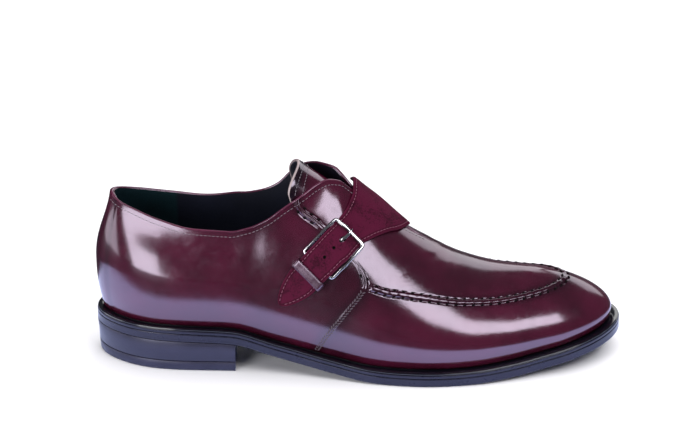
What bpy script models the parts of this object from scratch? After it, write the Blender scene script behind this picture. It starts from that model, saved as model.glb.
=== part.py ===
"""Monk strap shoe for the right foot: toe to +X, buckle side to -Y, standing on z = 0.

Lengths run along the sole from the heel's back edge. Every form is worked out from the named sizes
below and from short tables. Their rows are sections along the shoe, and their columns hold shares of
those sizes.
"""
import math

import bmesh
import bpy
import numpy as np

# Driving sizes of the bottom, in metres
LENGTH = 0.300
BALL_WIDTH = 0.1015
WAIST_WIDTH = 0.0685
HEEL_WIDTH = 0.0690
SOLE_THICK = 0.0048
WELT_THICK = 0.0030
WELT_EDGE = 0.0060
SEAT_EDGE = 0.0045
HEEL_HEIGHT = 0.0188
HEEL_LENGTH = 0.0800
HEEL_TAPER = 0.0012
TOP_LIFT = 0.0058
TOE_SPRING = 0.0120
INSOLE_THICK = 0.0046
SOCK_ROUND = 0.0012
ARRIS = 0.0006

# Driving sizes of the upper
WALL = 0.0020
BACK_HEIGHT = 0.0698
INSTEP_HEIGHT = 0.0935
TOE_HEIGHT = 0.0335
COLLAR_WIDTH = 0.0500
HEEL_BULGE = 0.0036
SIDE_BULGE = 0.0060
SEAM_RISE = 0.0009
SEAM_HALF = 0.0019
STRIP_RISE = 0.0007
STRIP_HALF = 0.0120
TONGUE_THICK = 0.0018
TONGUE_FALL = 0.0135
TONGUE_SKIRT = 0.0120
TONGUE_HORN = 0.0090

# Driving sizes of the strap and its buckle
STRAP_THICK = 0.0018
STRAP_WIDTH = 0.0195
TAIL_LENGTH = 0.0560
BASE_LENGTH = 0.0400
STRAP_LIFT = 0.0049
CHAPE_THICK = 0.0009
CHAPE_WIDTH = 0.0140
KEEPER_DISTANCE = 0.0298
KEEPER_WIDTH = 0.0050
KEEPER_THICK = 0.0010
BUCKLE_LENGTH = 0.0248
BUCKLE_WIDTH = 0.0220
FRONT_BAR_HEIGHT = 0.00365
HEEL_BAR_HEIGHT = 0.00225
BAR_WIDTH = 0.0018
BAR_THICK = 0.0015
HOLE_AT = 0.0057
HOLE_PITCH = 0.0067
HOLE_SIZE = 0.0017
SLOT_LENGTH = 0.0044
CHAPE_SLOT = 0.0080
PRONG_WIDTH = 0.0016
PRONG_THICK = 0.0009
PRONG_HEIGHT = 0.0052

# Clearance between pieces that touch
GAP = 0.0003

# Mesh density of the sole, in sections from heel to toe
SECTIONS = 38

LATERAL, MEDIAL = -1, 1


def columns(names, *rows):
    """A table whose columns are called by name."""
    return dict(zip(names.split(), np.array(rows, dtype=float).T))


def read(table, column, at):
    """Monotone cubic curve through one column of a table, over its first column."""
    knots = next(iter(table.values()))
    values = table[column]
    step = np.diff(knots)
    rate = np.diff(values) / step
    slope = np.concatenate(([rate[0]], np.zeros(len(rate) - 1), [rate[-1]]))
    for i in range(1, len(rate)):
        if rate[i - 1] * rate[i] > 0:
            before, after = step[i] * 2 + step[i - 1], step[i] + step[i - 1] * 2
            slope[i] = (before + after) / (before / rate[i - 1] + after / rate[i])
    at = np.clip(at, knots[0], knots[-1])
    i = np.clip(np.searchsorted(knots, at, side="right") - 1, 0, len(step) - 1)
    u = (at - knots[i]) / step[i]
    return (values[i] * (1 + 2 * u) * (1 - u) ** 2 + values[i + 1] * (3 - 2 * u) * u ** 2
            + step[i] * (slope[i] * u * (1 - u) ** 2 - slope[i + 1] * (1 - u) * u ** 2))


# Sole outline: half widths on the buckle side and on the inner side, before heel and toe are rounded,
# and the shift of the middle line of the sole and of the ridge
OUTLINE = columns(
    "along  lateral             medial              shift  ridge",
    (0.000, 0.385 * HEEL_WIDTH, 0.375 * HEEL_WIDTH, 0.000, 0.000),
    (0.090, 0.450 * HEEL_WIDTH, 0.440 * HEEL_WIDTH, 0.000, 0.000),
    (0.170, 0.500 * HEEL_WIDTH, 0.470 * HEEL_WIDTH, 0.000, 0.000),
    (0.257, 0.515 * HEEL_WIDTH, 0.455 * HEEL_WIDTH, 0.000, 0.010 * BALL_WIDTH),
    (0.373, 0.585 * WAIST_WIDTH, 0.400 * WAIST_WIDTH, 0.000, 0.020 * BALL_WIDTH),
    (0.450, 0.662 * WAIST_WIDTH, 0.455 * WAIST_WIDTH, 0.000, 0.025 * BALL_WIDTH),
    (0.540, 0.510 * BALL_WIDTH, 0.395 * BALL_WIDTH, 0.000, 0.030 * BALL_WIDTH),
    (0.630, 0.537 * BALL_WIDTH, 0.455 * BALL_WIDTH, 0.000, 0.030 * BALL_WIDTH),
    (0.720, 0.517 * BALL_WIDTH, 0.450 * BALL_WIDTH, 0.005 * BALL_WIDTH, 0.030 * BALL_WIDTH),
    (0.793, 0.465 * BALL_WIDTH, 0.425 * BALL_WIDTH, 0.010 * BALL_WIDTH, 0.030 * BALL_WIDTH),
    (0.867, 0.393 * BALL_WIDTH, 0.372 * BALL_WIDTH, 0.015 * BALL_WIDTH, 0.025 * BALL_WIDTH),
    (0.930, 0.338 * BALL_WIDTH, 0.330 * BALL_WIDTH, 0.020 * BALL_WIDTH, 0.020 * BALL_WIDTH),
    (1.000, 0.300 * BALL_WIDTH, 0.300 * BALL_WIDTH, 0.020 * BALL_WIDTH, 0.020 * BALL_WIDTH),
)
SIDE_NAME = {LATERAL: "lateral", MEDIAL: "medial"}
HEEL_ROUND = 0.125
TOE_ROUND = 0.120

# Underside of the sole: the arch falls from the heel to the flat tread, which rises to the toe
UNDERSIDE = columns(
    "along  height",
    (0.000, 1.000 * HEEL_HEIGHT),
    (0.130, 0.985 * HEEL_HEIGHT),
    (0.257, 0.920 * HEEL_HEIGHT),
    (0.340, 0.590 * HEEL_HEIGHT),
    (0.440, 0.240 * HEEL_HEIGHT),
    (0.520, 0.040 * HEEL_HEIGHT),
    (0.570, 0.000 * TOE_SPRING),
    (0.670, 0.000 * TOE_SPRING),
    (0.760, 0.110 * TOE_SPRING),
    (0.867, 0.420 * TOE_SPRING),
    (0.935, 0.690 * TOE_SPRING),
    (1.000, 1.000 * TOE_SPRING),
)

# Widest line of the upper: how far out from the featherline, its height over it, and the rise of the
# wall above it, as a share of the height left
BULGE = columns(
    "along  lateral            medial             height               rise",
    (0.00, 1.00 * HEEL_BULGE, 1.00 * HEEL_BULGE, 0.433 * BACK_HEIGHT, 0.40),
    (0.06, 0.95 * HEEL_BULGE, 0.95 * HEEL_BULGE, 0.413 * BACK_HEIGHT, 0.40),
    (0.16, 0.90 * HEEL_BULGE, 0.85 * HEEL_BULGE, 0.361 * BACK_HEIGHT, 0.40),
    (0.27, 0.60 * SIDE_BULGE, 1.00 * SIDE_BULGE, 0.320 * BACK_HEIGHT, 0.40),
    (0.38, 0.60 * SIDE_BULGE, 1.60 * SIDE_BULGE, 0.200 * INSTEP_HEIGHT, 0.40),
    (0.50, 0.45 * SIDE_BULGE, 1.20 * SIDE_BULGE, 0.160 * INSTEP_HEIGHT, 0.42),
    (0.62, 0.35 * SIDE_BULGE, 0.50 * SIDE_BULGE, 0.360 * TOE_HEIGHT, 0.42),
    (0.75, 0.30 * SIDE_BULGE, 0.30 * SIDE_BULGE, 0.300 * TOE_HEIGHT, 0.42),
    (0.88, 0.25 * SIDE_BULGE, 0.25 * SIDE_BULGE, 0.220 * TOE_HEIGHT, 0.42),
    (1.00, 0.20 * SIDE_BULGE, 0.20 * SIDE_BULGE, 0.140 * TOE_HEIGHT, 0.42),
)

# Top line of each side: place along the shoe, distance from the middle, height over the featherline,
# and how the wall runs into it. It is collar, tab and slit edge, and then the ridge of the vamp.
TOP = {
    LATERAL: columns(
        "section along  out                  height                 lean  drop",
        (0.000, 0.0330, 0.000 * COLLAR_WIDTH, 1.000 * BACK_HEIGHT, 0.20, 0.35),
        (0.001, 0.0337, 0.040 * COLLAR_WIDTH, 0.999 * BACK_HEIGHT, 0.20, 0.35),
        (0.004, 0.0357, 0.080 * COLLAR_WIDTH, 0.992 * BACK_HEIGHT, 0.20, 0.35),
        (0.014, 0.0403, 0.134 * COLLAR_WIDTH, 0.978 * BACK_HEIGHT, 0.20, 0.35),
        (0.030, 0.0480, 0.180 * COLLAR_WIDTH, 0.960 * BACK_HEIGHT, 0.20, 0.35),
        (0.075, 0.0800, 0.270 * COLLAR_WIDTH, 0.912 * BACK_HEIGHT, 0.20, 0.35),
        (0.120, 0.1200, 0.350 * COLLAR_WIDTH, 0.857 * BACK_HEIGHT, 0.20, 0.35),
        (0.190, 0.1900, 0.440 * COLLAR_WIDTH, 0.799 * BACK_HEIGHT, 0.15, 0.35),
        (0.257, 0.2570, 0.480 * COLLAR_WIDTH, 0.796 * BACK_HEIGHT, 0.15, 0.35),
        (0.292, 0.2920, 0.490 * COLLAR_WIDTH, 0.856 * BACK_HEIGHT, 0.15, 0.35),
        (0.327, 0.3270, 0.490 * COLLAR_WIDTH, 0.970 * BACK_HEIGHT, 0.20, 0.35),
        (0.363, 0.3630, 0.460 * COLLAR_WIDTH, 0.831 * INSTEP_HEIGHT, 0.20, 0.35),
        (0.398, 0.3980, 0.380 * COLLAR_WIDTH, 0.919 * INSTEP_HEIGHT, 0.25, 0.30),
        (0.422, 0.4220, 0.280 * COLLAR_WIDTH, 0.975 * INSTEP_HEIGHT, 0.30, 0.25),
        (0.443, 0.4430, 0.180 * COLLAR_WIDTH, 0.998 * INSTEP_HEIGHT, 0.35, 0.20),
        (0.465, 0.4650, 0.100 * COLLAR_WIDTH, 0.986 * INSTEP_HEIGHT, 0.40, 0.15),
        (0.480, 0.4800, 0.065 * COLLAR_WIDTH, 0.950 * INSTEP_HEIGHT, 0.42, 0.12),
        (0.535, 0.5350, 0.055 * COLLAR_WIDTH, 0.829 * INSTEP_HEIGHT, 0.44, 0.08),
        (0.592, 0.5920, 0.040 * COLLAR_WIDTH, 0.690 * INSTEP_HEIGHT, 0.45, 0.04),
        (0.638, 0.6380, 0.000 * COLLAR_WIDTH, 0.598 * INSTEP_HEIGHT, 0.45, 0.00),
        (0.700, 0.6950, 0.000 * COLLAR_WIDTH, 0.497 * INSTEP_HEIGHT, 0.45, 0.00),
        (0.780, 0.7600, 0.000 * COLLAR_WIDTH, 1.165 * TOE_HEIGHT, 0.45, 0.00),
        (0.880, 0.8200, 0.000 * COLLAR_WIDTH, 1.055 * TOE_HEIGHT, 0.42, 0.00),
        (1.000, 0.8500, 0.000 * COLLAR_WIDTH, 1.000 * TOE_HEIGHT, 0.40, 0.10),
    ),
    MEDIAL: columns(
        "section along  out                  height                 lean  drop",
        (0.000, 0.0330, 0.000 * COLLAR_WIDTH, 1.000 * BACK_HEIGHT, 0.20, 0.35),
        (0.001, 0.0337, 0.040 * COLLAR_WIDTH, 0.999 * BACK_HEIGHT, 0.20, 0.35),
        (0.004, 0.0357, 0.080 * COLLAR_WIDTH, 0.996 * BACK_HEIGHT, 0.20, 0.35),
        (0.014, 0.0403, 0.134 * COLLAR_WIDTH, 0.990 * BACK_HEIGHT, 0.20, 0.35),
        (0.030, 0.0480, 0.180 * COLLAR_WIDTH, 0.980 * BACK_HEIGHT, 0.20, 0.35),
        (0.075, 0.0800, 0.270 * COLLAR_WIDTH, 0.946 * BACK_HEIGHT, 0.20, 0.35),
        (0.140, 0.1400, 0.370 * COLLAR_WIDTH, 0.889 * BACK_HEIGHT, 0.20, 0.35),
        (0.220, 0.2200, 0.440 * COLLAR_WIDTH, 0.842 * BACK_HEIGHT, 0.15, 0.35),
        (0.277, 0.2770, 0.480 * COLLAR_WIDTH, 0.865 * BACK_HEIGHT, 0.15, 0.35),
        (0.310, 0.3100, 0.480 * COLLAR_WIDTH, 0.921 * BACK_HEIGHT, 0.20, 0.35),
        (0.346, 0.3460, 0.470 * COLLAR_WIDTH, 1.029 * BACK_HEIGHT, 0.20, 0.35),
        (0.375, 0.3750, 0.440 * COLLAR_WIDTH, 0.885 * INSTEP_HEIGHT, 0.22, 0.33),
        (0.404, 0.4040, 0.360 * COLLAR_WIDTH, 0.972 * INSTEP_HEIGHT, 0.25, 0.30),
        (0.427, 0.4270, 0.280 * COLLAR_WIDTH, 1.005 * INSTEP_HEIGHT, 0.30, 0.25),
        (0.455, 0.4550, 0.180 * COLLAR_WIDTH, 1.015 * INSTEP_HEIGHT, 0.35, 0.20),
        (0.474, 0.4740, 0.100 * COLLAR_WIDTH, 0.978 * INSTEP_HEIGHT, 0.40, 0.15),
        (0.490, 0.4900, 0.050 * COLLAR_WIDTH, 0.930 * INSTEP_HEIGHT, 0.42, 0.12),
        (0.535, 0.5350, 0.035 * COLLAR_WIDTH, 0.829 * INSTEP_HEIGHT, 0.44, 0.08),
        (0.592, 0.5920, 0.025 * COLLAR_WIDTH, 0.690 * INSTEP_HEIGHT, 0.45, 0.04),
        (0.638, 0.6380, 0.000 * COLLAR_WIDTH, 0.598 * INSTEP_HEIGHT, 0.45, 0.00),
        (0.700, 0.6950, 0.000 * COLLAR_WIDTH, 0.497 * INSTEP_HEIGHT, 0.45, 0.00),
        (0.780, 0.7600, 0.000 * COLLAR_WIDTH, 1.165 * TOE_HEIGHT, 0.45, 0.00),
        (0.880, 0.8200, 0.000 * COLLAR_WIDTH, 1.055 * TOE_HEIGHT, 0.42, 0.00),
        (1.000, 0.8500, 0.000 * COLLAR_WIDTH, 1.000 * TOE_HEIGHT, 0.40, 0.10),
    ),
}
SLIT_END = 0.638


def underside(x):
    """Height of the sole's underside at a place along the shoe."""
    return read(UNDERSIDE, "height", x / LENGTH)


def feather_height(x):
    """Height at which the upper stands on the welt."""
    return underside(x) + SOLE_THICK + WELT_THICK + 2.3 * GAP


def sole_edge(side, section, inset=0.0):
    """Plan of one side of the sole, moved in square to its own edge by the inset.

    The half widths close as quarter ellipses at heel and toe.
    """
    def plan(turn):
        s = (1 - np.cos(np.pi * turn)) / 2
        heel = 1 - np.clip(s / HEEL_ROUND, 0, 1)
        toe = 1 - np.clip((1 - s) / TOE_ROUND, 0, 1)
        half = read(OUTLINE, SIDE_NAME[side], s) * np.sqrt(1 - heel ** 2) * np.sqrt(1 - toe ** 2)
        return np.stack((s * LENGTH, read(OUTLINE, "shift", s) + side * half), axis=-1)

    turn = np.arccos(np.clip(1 - 2 * np.asarray(section, dtype=float), -1, 1)) / np.pi
    small = 1e-4
    tangent = plan(np.minimum(turn + small, 1)) - plan(np.maximum(turn - small, 0))
    tangent /= np.linalg.norm(tangent, axis=-1, keepdims=True)
    outward = side * np.stack((-tangent[..., 1], tangent[..., 0]), axis=-1)
    return plan(turn) - outward * np.asarray(inset)[..., None], outward


def welt_edge(section):
    """How far the welt stands out past the upper: less at the seat and the waist."""
    edge = columns("along edge", (0.0, SEAT_EDGE), (0.28, SEAT_EDGE), (0.55, WELT_EDGE), (1.0, WELT_EDGE))
    return read(edge, "edge", section)


def last(side, section, level):
    """Outer surface of the upper as on its last.

    Level -1 is the featherline, 0 the widest line and 1 the top line. Two Bezier arcs join them.
    """
    section, level = np.broadcast_arrays(np.asarray(section, dtype=float), np.asarray(level, dtype=float))
    plan, outward = sole_edge(side, section, welt_edge(section))
    foot = np.concatenate((plan, feather_height(plan[..., :1])), axis=-1)
    bulge = foot + np.concatenate((
        outward * read(BULGE, SIDE_NAME[side], section)[..., None],
        read(BULGE, "height", section)[..., None]), axis=-1)
    table = TOP[side]
    along = read(table, "along", section) * LENGTH
    middle = read(OUTLINE, "ridge", along / LENGTH)
    top = np.stack((along, middle + side * read(table, "out", section),
                    feather_height(along) + read(table, "height", section)), axis=-1)

    up = np.array((0.0, 0.0, 1.0))
    flat = np.array((1.0, 1.0, 0.0))
    tall = (top - bulge)[..., 2:]
    low = ((foot, foot + (bulge - foot) * (0.55, 0.55, 0.30), bulge - (bulge - foot) * up * 0.55, bulge))
    high = (bulge,
            bulge + up * tall * read(BULGE, "rise", section)[..., None],
            top + (bulge - top) * flat * read(table, "lean", section)[..., None]
            - up * tall * read(table, "drop", section)[..., None],
            top)
    u = np.where(level < 0, level + 1, level)[..., None]
    arc = [np.where(level[..., None] < 0, a, b) for a, b in zip(low, high)]
    return (arc[0] * (1 - u) ** 3 + arc[1] * 3 * u * (1 - u) ** 2 + arc[2] * 3 * u ** 2 * (1 - u)
            + arc[3] * u ** 3)


def ring_sections(sections):
    """Sides and sections of one closed ring: from the back along the buckle side, and home again."""
    inner = sections[1:-1]
    side = np.concatenate(([LATERAL], [LATERAL] * len(inner), [LATERAL], [MEDIAL] * len(inner)))
    return side, np.concatenate((sections, inner[::-1]))


def ring_points(surface, sections, level):
    """Points of one ring of a surface given for each side."""
    side, section = ring_sections(sections)
    lateral, medial = surface(LATERAL, section, level), surface(MEDIAL, section, level)
    points = np.where((side == LATERAL)[:, None], lateral, medial)
    ends = np.isin(np.arange(len(side)), (0, len(sections) - 1))
    points[ends] = (lateral[ends] + medial[ends]) / 2
    return points


def quads(rings):
    """Faces between rings of equal length, each ring a row of vertex numbers."""
    faces = []
    for lower, upper in zip(rings, rings[1:]):
        for k in range(len(lower)):
            n = (k + 1) % len(lower)
            corners = (lower[k], lower[n], upper[n], upper[k])
            face = tuple(dict.fromkeys(corners))
            if len(face) > 2:
                faces.append(face)
    return faces


def lid(ring, up=True):
    """Faces across a ring, between its two sides."""
    count = len(ring)
    faces = []
    for k in range(count // 2):
        corners = (ring[k], ring[k + 1], ring[(count - k - 1) % count], ring[(count - k) % count])
        face = tuple(dict.fromkeys(corners))
        faces.append(face if up else face[::-1])
    return faces


def material(name, colour, rough, metal=0.0, coat=0.0):
    finish = bpy.data.materials.new(name)
    finish.use_nodes = True
    shader = finish.node_tree.nodes["Principled BSDF"]
    shader.inputs["Base Color"].default_value = (*colour, 1.0)
    shader.inputs["Roughness"].default_value = rough
    shader.inputs["Metallic"].default_value = metal
    shader.inputs["Coat Weight"].default_value = coat
    return finish


def piece(name, points, faces, finish, crease=40):
    """One named object, with its place in its mesh."""
    mesh = bpy.data.meshes.new(name)
    mesh.from_pydata([tuple(p) for p in np.asarray(points)], [], faces)
    mesh.validate()
    mesh.shade_smooth()
    mesh.set_sharp_from_angle(angle=math.radians(crease))
    mesh.materials.append(finish)
    made = bpy.data.objects.new(name, mesh)
    bpy.context.scene.collection.objects.link(made)
    return made


def cosine(count):
    return (1 - np.cos(np.pi * np.arange(count + 1) / count)) / 2


def sole_ring(sections, inset, height):
    """A ring on the sole's outline: inset, and height as a function of the place along the shoe."""
    def surface(side, section, _):
        plan = sole_edge(side, section, np.broadcast_to(inset(section), section.shape))[0]
        return np.concatenate((plan, height(plan[..., :1])), axis=-1)
    return ring_points(surface, sections, 0.0)


def plate(name, sections, rings, finish, hole=False):
    """A solid between stacked rings, closed by lids, or by its first ring again where it has a hole."""
    count = len(rings[0])
    points = np.concatenate(rings)
    rows = [list(range(count * i, count * (i + 1))) for i in range(len(rings))]
    if hole:
        faces = quads(rows + rows[:1])
    else:
        faces = quads(rows) + lid(rows[-1]) + lid(rows[0], up=False)
    return piece(name, points, faces, finish)


def clear_scene():
    for old in list(bpy.data.objects):
        bpy.data.objects.remove(old, do_unlink=True)


def level_with(function, offset):
    return lambda x: function(x) + offset


def build_bottom():
    """Outsole, welt, insole, heel block and top lift."""
    black = material("black_edge", (0.012, 0.012, 0.018), 0.25, coat=0.4)
    rubber = material("heel_rubber", (0.016, 0.016, 0.020), 0.45)
    lining = material("sock_leather", (0.012, 0.016, 0.026), 0.6)
    sections = cosine(SECTIONS)

    def sole_top(x):
        return underside(x) + SOLE_THICK

    plate("outsole", sections, [
        sole_ring(sections, lambda s: ARRIS, underside),
        sole_ring(sections, lambda s: 0.0, level_with(underside, ARRIS)),
        sole_ring(sections, lambda s: 0.0, level_with(sole_top, -ARRIS / 2)),
        sole_ring(sections, lambda s: ARRIS / 2, sole_top),
    ], black)

    def inner_edge(section):
        return welt_edge(section) + WALL

    def welt_round(share):
        return lambda s: share * WELT_THICK

    low, high = level_with(sole_top, GAP), level_with(sole_top, GAP + WELT_THICK)
    plate("welt", sections, [
        sole_ring(sections, inner_edge, low),
        sole_ring(sections, welt_round(0.20), low),
        sole_ring(sections, welt_round(0.04), level_with(sole_top, GAP + 0.45 * WELT_THICK)),
        sole_ring(sections, welt_round(0.40), high),
        sole_ring(sections, inner_edge, high),
    ], black, hole=True)

    def sock_edge(section):
        return inner_edge(section) + GAP

    plate("insole", sections, [
        sole_ring(sections, sock_edge, low),
        sole_ring(sections, sock_edge, level_with(sole_top, GAP + 0.8 * INSOLE_THICK)),
        sole_ring(sections, lambda s: sock_edge(s) + SOCK_ROUND, level_with(sole_top, GAP + INSOLE_THICK)),
    ], lining)

    build_heel(black, rubber)


def build_heel(black, rubber):
    """Heel block under the seat and its top lift, with a straight breast across."""
    steps = 14
    share = 1 - np.cos(np.pi / 2 * np.arange(steps + 1) / steps)
    sections = share * HEEL_LENGTH / LENGTH

    def heel_ring(inset, height):
        lateral = sole_edge(LATERAL, sections, np.full(len(sections), inset))[0]
        medial = sole_edge(MEDIAL, sections, np.full(len(sections), inset))[0]
        lateral[0] = medial[0] = (lateral[0] + medial[0]) / 2
        lateral[-1, 0] = medial[-1, 0] = HEEL_LENGTH
        plan = np.concatenate((lateral, medial[:0:-1]))
        return np.concatenate((plan, height(plan[:, :1])), axis=-1)

    def flat(z):
        return lambda x: np.full_like(x, z)

    def heel_solid(name, rings, finish):
        count = len(rings[0])
        rows = [list(range(count * i, count * (i + 1))) for i in range(len(rings))]
        caps = []
        for row, up in ((rows[-1], True), (rows[0], False)):
            for k in range(steps):
                corners = (row[k], row[k + 1], row[count - k - 1], row[(count - k) % count])
                face = tuple(dict.fromkeys(corners))
                caps.append(face if up else face[::-1])
        piece(name, np.concatenate(rings), quads(rows) + caps, finish)

    taper = HEEL_TAPER * TOP_LIFT / HEEL_HEIGHT
    heel_solid("top_lift", [
        heel_ring(HEEL_TAPER + ARRIS, flat(0.0)),
        heel_ring(HEEL_TAPER, flat(ARRIS)),
        heel_ring(HEEL_TAPER - taper, flat(TOP_LIFT)),
    ], rubber)
    heel_solid("heel", [
        heel_ring(HEEL_TAPER - taper, flat(TOP_LIFT + GAP)),
        heel_ring(0.0, level_with(underside, -GAP)),
    ], black)


# Raised seam round the apron: its level on the wall, and how high it stands
APRON = columns(
    "along  level  rise",
    (0.000, 0.361, 0.0),
    (0.455, 0.361, 0.0),
    (0.467, 0.366, 1.0),
    (0.490, 0.373, 1.0),
    (0.515, 0.385, 1.0),
    (0.530, 0.394, 1.0),
    (0.560, 0.408, 1.0),
    (0.600, 0.424, 1.0),
    (0.640, 0.446, 1.0),
    (0.687, 0.480, 1.0),
    (0.730, 0.513, 1.0),
    (0.774, 0.543, 1.0),
    (0.876, 0.617, 1.0),
    (0.940, 0.675, 1.0),
    (1.000, 0.740, 1.0),
)

# Raised seam of the quarter: how far the sections near it lean with it, and how high it stands
QUARTER_SECTION = 0.450
QUARTER_REACH = 0.180
QUARTER = columns(
    "level  lean    rise",
    (-1.00, -0.035, 0.2),
    (-0.50, -0.023, 0.3),
    (0.000, -0.004, 0.4),
    (0.100, 0.014, 0.6),
    (0.200, 0.033, 0.9),
    (0.290, 0.050, 1.0),
    (0.367, 0.060, 1.0),
    (0.425, 0.056, 1.0),
    (0.470, 0.044, 0.0),
    (0.530, 0.014, 0.0),
    (0.650, -0.018, 0.0),
    (0.690, -0.026, 1.0),
    (0.950, -0.063, 1.0),
    (1.000, -0.065, 1.0),
)
FLAT_TOP = 0.4

# Sections closer than this to the seam and to the strip's edge give way to them, and the step of the
# strip's edge takes this much
SEAM_CLEAR = 0.002
STRIP_STEP = 0.0006


def leaning(section, level):
    """Sections near the quarter seam lean with it, so that the seam is one of them."""
    near = np.clip(1 - ((section - QUARTER_SECTION) / QUARTER_REACH) ** 2, 0, 1) ** 2
    return section + near * read(QUARTER, "lean", level)


def upper_sections():
    """Sections of the upper: close at heel, tab and toe, with the strip's edge and the seam among them."""
    heel = 0.12 * (1 - np.cos(np.linspace(0, np.pi / 2, 8)))
    back = np.linspace(0.14, 0.32, 10)
    tab = np.linspace(0.335, 0.50, 14)
    slit = np.linspace(0.525, SLIT_END, 6)
    vamp = np.linspace(0.67, 0.85, 6)
    toe = 1 - 0.12 * (1 - np.cos(np.linspace(np.pi / 2, 0, 10)))
    seam_half = 1.3 * SEAM_HALF / LENGTH
    seam = QUARTER_SECTION + seam_half * np.array((-1, -FLAT_TOP, FLAT_TOP, 1))
    trial = np.linspace(0, HEEL_ROUND, 400)
    across = np.abs(sole_edge(MEDIAL, trial, welt_edge(trial))[0][:, 1])
    edge = np.interp(STRIP_HALF, across, trial) + np.array((-STRIP_STEP, STRIP_STEP))
    base = np.concatenate((heel, back, tab, slit, vamp, toe))
    for own in (seam, edge):
        clear = (base < own[0] - SEAM_CLEAR) | (base > own[-1] + SEAM_CLEAR)
        base = base[clear | (base == 0)]
    return np.sort(np.concatenate((base, seam, edge))), seam, edge


def upper_rise(section, row, level, seam, edge):
    """How far the outer wall stands out from the last: apron seam, quarter seam and back strip."""
    apron = read(APRON, "rise", section) if row == "seam" else 0.0 * section
    on_seam = (section > (seam[0] + seam[1]) / 2) & (section < (seam[2] + seam[3]) / 2)
    quarter = np.where(on_seam, read(QUARTER, "rise", level), 0.0)
    strip = np.where(section < edge.mean(), STRIP_RISE, 0.0)
    return np.maximum(SEAM_RISE * np.maximum(apron, quarter), strip)


def upper_rows():
    """Rows of the outer wall: a share of the way up its zone, and whether it is on the apron seam."""
    rows = [("low", share) for share in (-1.0, -0.66, -0.33)]
    rows += [("side", share) for share in (0.0, 0.33, 0.66)]
    rows += [("foot of seam", -1.0), ("seam", -FLAT_TOP), ("seam", FLAT_TOP), ("head of seam", 1.0)]
    return rows + [("vamp", share) for share in (0.22, 0.44, 0.64, 0.80, 0.92, 1.0)]


def row_level(side, section, row, share):
    """Level of a row along the shoe."""
    middle = read(APRON, "level", section)
    step = 0.01
    speed = np.linalg.norm(last(side, section, middle + step) - last(side, section, middle - step), axis=-1)
    half = SEAM_HALF * 2 * step / speed
    if row == "low":
        return share + 0 * section
    if row == "side":
        return share * (middle - half)
    if row == "vamp":
        return middle + half + share * (1 - middle - half)
    return middle + share * half


def build_upper(finish):
    """The whole upper as one wall, open at the collar and the slit, and underneath."""
    sections, seam, edge = upper_sections()
    closed = int(np.argmin(abs(sections - SLIT_END)))
    turn = len(sections) - 1
    count = 2 * turn

    def skin(rows, first):
        rings = []
        for row, share in rows:
            def surface(side, section, _):
                level = row_level(side, section, row, share)
                return last(side, leaning(section, level), level)
            rings.append(ring_points(surface, sections, 0.0))
        for section in range(closed, turn):
            middle = (rings[-1][section] + rings[-1][count - section]) / 2
            rings[-1][section] = rings[-1][count - section] = middle
        numbers = [list(range(first + count * i, first + count * (i + 1))) for i in range(len(rows))]
        for section in range(closed, turn):
            numbers[-1][count - section] = numbers[-1][section]
        return np.concatenate(rings), numbers

    rows = upper_rows()
    outer, outer_rows = skin(rows, 0)
    outer_faces = quads(outer_rows)
    normal = vertex_normals(outer, outer_faces)
    side, section = ring_sections(sections)
    rise = []
    for row, share in rows:
        level = np.where(side == LATERAL, row_level(LATERAL, section, row, share),
                         row_level(MEDIAL, section, row, share))
        rise.append(upper_rise(section, row, level, seam, edge))
    raised = outer + normal * np.concatenate(rise)[:, None]

    inner_rows_at = [rows[i] for i in (0, 2, 3, 5, 6, 9, 11, 12, 13, 14, 15)]
    inner, inner_rows = skin(inner_rows_at, len(outer))
    inner_faces = quads(inner_rows)
    shifted = [tuple(v - len(outer) for v in face) for face in inner_faces]
    inner = inner - WALL * vertex_normals(inner, shifted)
    inner[:count, 2] = outer[:count, 2]
    raised[:count, 2] = outer[:count, 2]

    faces = outer_faces + [face[::-1] for face in inner_faces] + quads([inner_rows[0], outer_rows[0]])
    for k in range(count):
        n = (k + 1) % count
        if min(k, count - k, n if n else count, count - n if n else 0) < closed:
            faces.append((outer_rows[-1][k], outer_rows[-1][n], inner_rows[-1][n], inner_rows[-1][k]))
    return piece("upper", *compact(np.concatenate((raised, inner)), faces), finish, crease=50)


def compact(points, faces):
    """Leave out the points that no face uses."""
    used = sorted({v for face in faces for v in face})
    number = {old: new for new, old in enumerate(used)}
    return points[used], [tuple(number[v] for v in face) for face in faces]


def vertex_normals(points, faces):
    """Mean of the face normals round each point, weighted by area."""
    total = np.zeros_like(points)
    for face in faces:
        a, b, c, d = (points[face[i % len(face)]] for i in (0, 1, 2, 3 if len(face) == 4 else 2))
        normal = np.cross(c - a, d - b) if len(face) == 4 else np.cross(b - a, c - a)
        for v in face:
            total[v] += normal
    size = np.linalg.norm(total, axis=1, keepdims=True)
    return total / np.where(size > 0, size, 1)


# Tongue: its two sides from the ridge, its top over the featherline, how far it falls to its sides,
# how that fall is spread (a half is round, one is flat) and the skirt that hangs down from there
TONGUE = columns(
    "along lateral               medial                height                 fall   spread skirt",
    (0.389, 0.376 * COLLAR_WIDTH, 0.344 * COLLAR_WIDTH, 1.042 * INSTEP_HEIGHT, 0.926, 0.50, 1.000),
    (0.433, 0.352 * COLLAR_WIDTH, 0.300 * COLLAR_WIDTH, 0.968 * INSTEP_HEIGHT, 1.000, 0.75, 0.167),
    (0.483, 0.350 * COLLAR_WIDTH, 0.250 * COLLAR_WIDTH, 0.893 * INSTEP_HEIGHT, 0.815, 1.00, 0.033),
    (0.533, 0.364 * COLLAR_WIDTH, 0.260 * COLLAR_WIDTH, 0.792 * INSTEP_HEIGHT, 0.704, 1.00, 0.033),
    (0.595, 0.350 * COLLAR_WIDTH, 0.240 * COLLAR_WIDTH, 0.648 * INSTEP_HEIGHT, 0.444, 1.00, 0.033),
)


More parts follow.
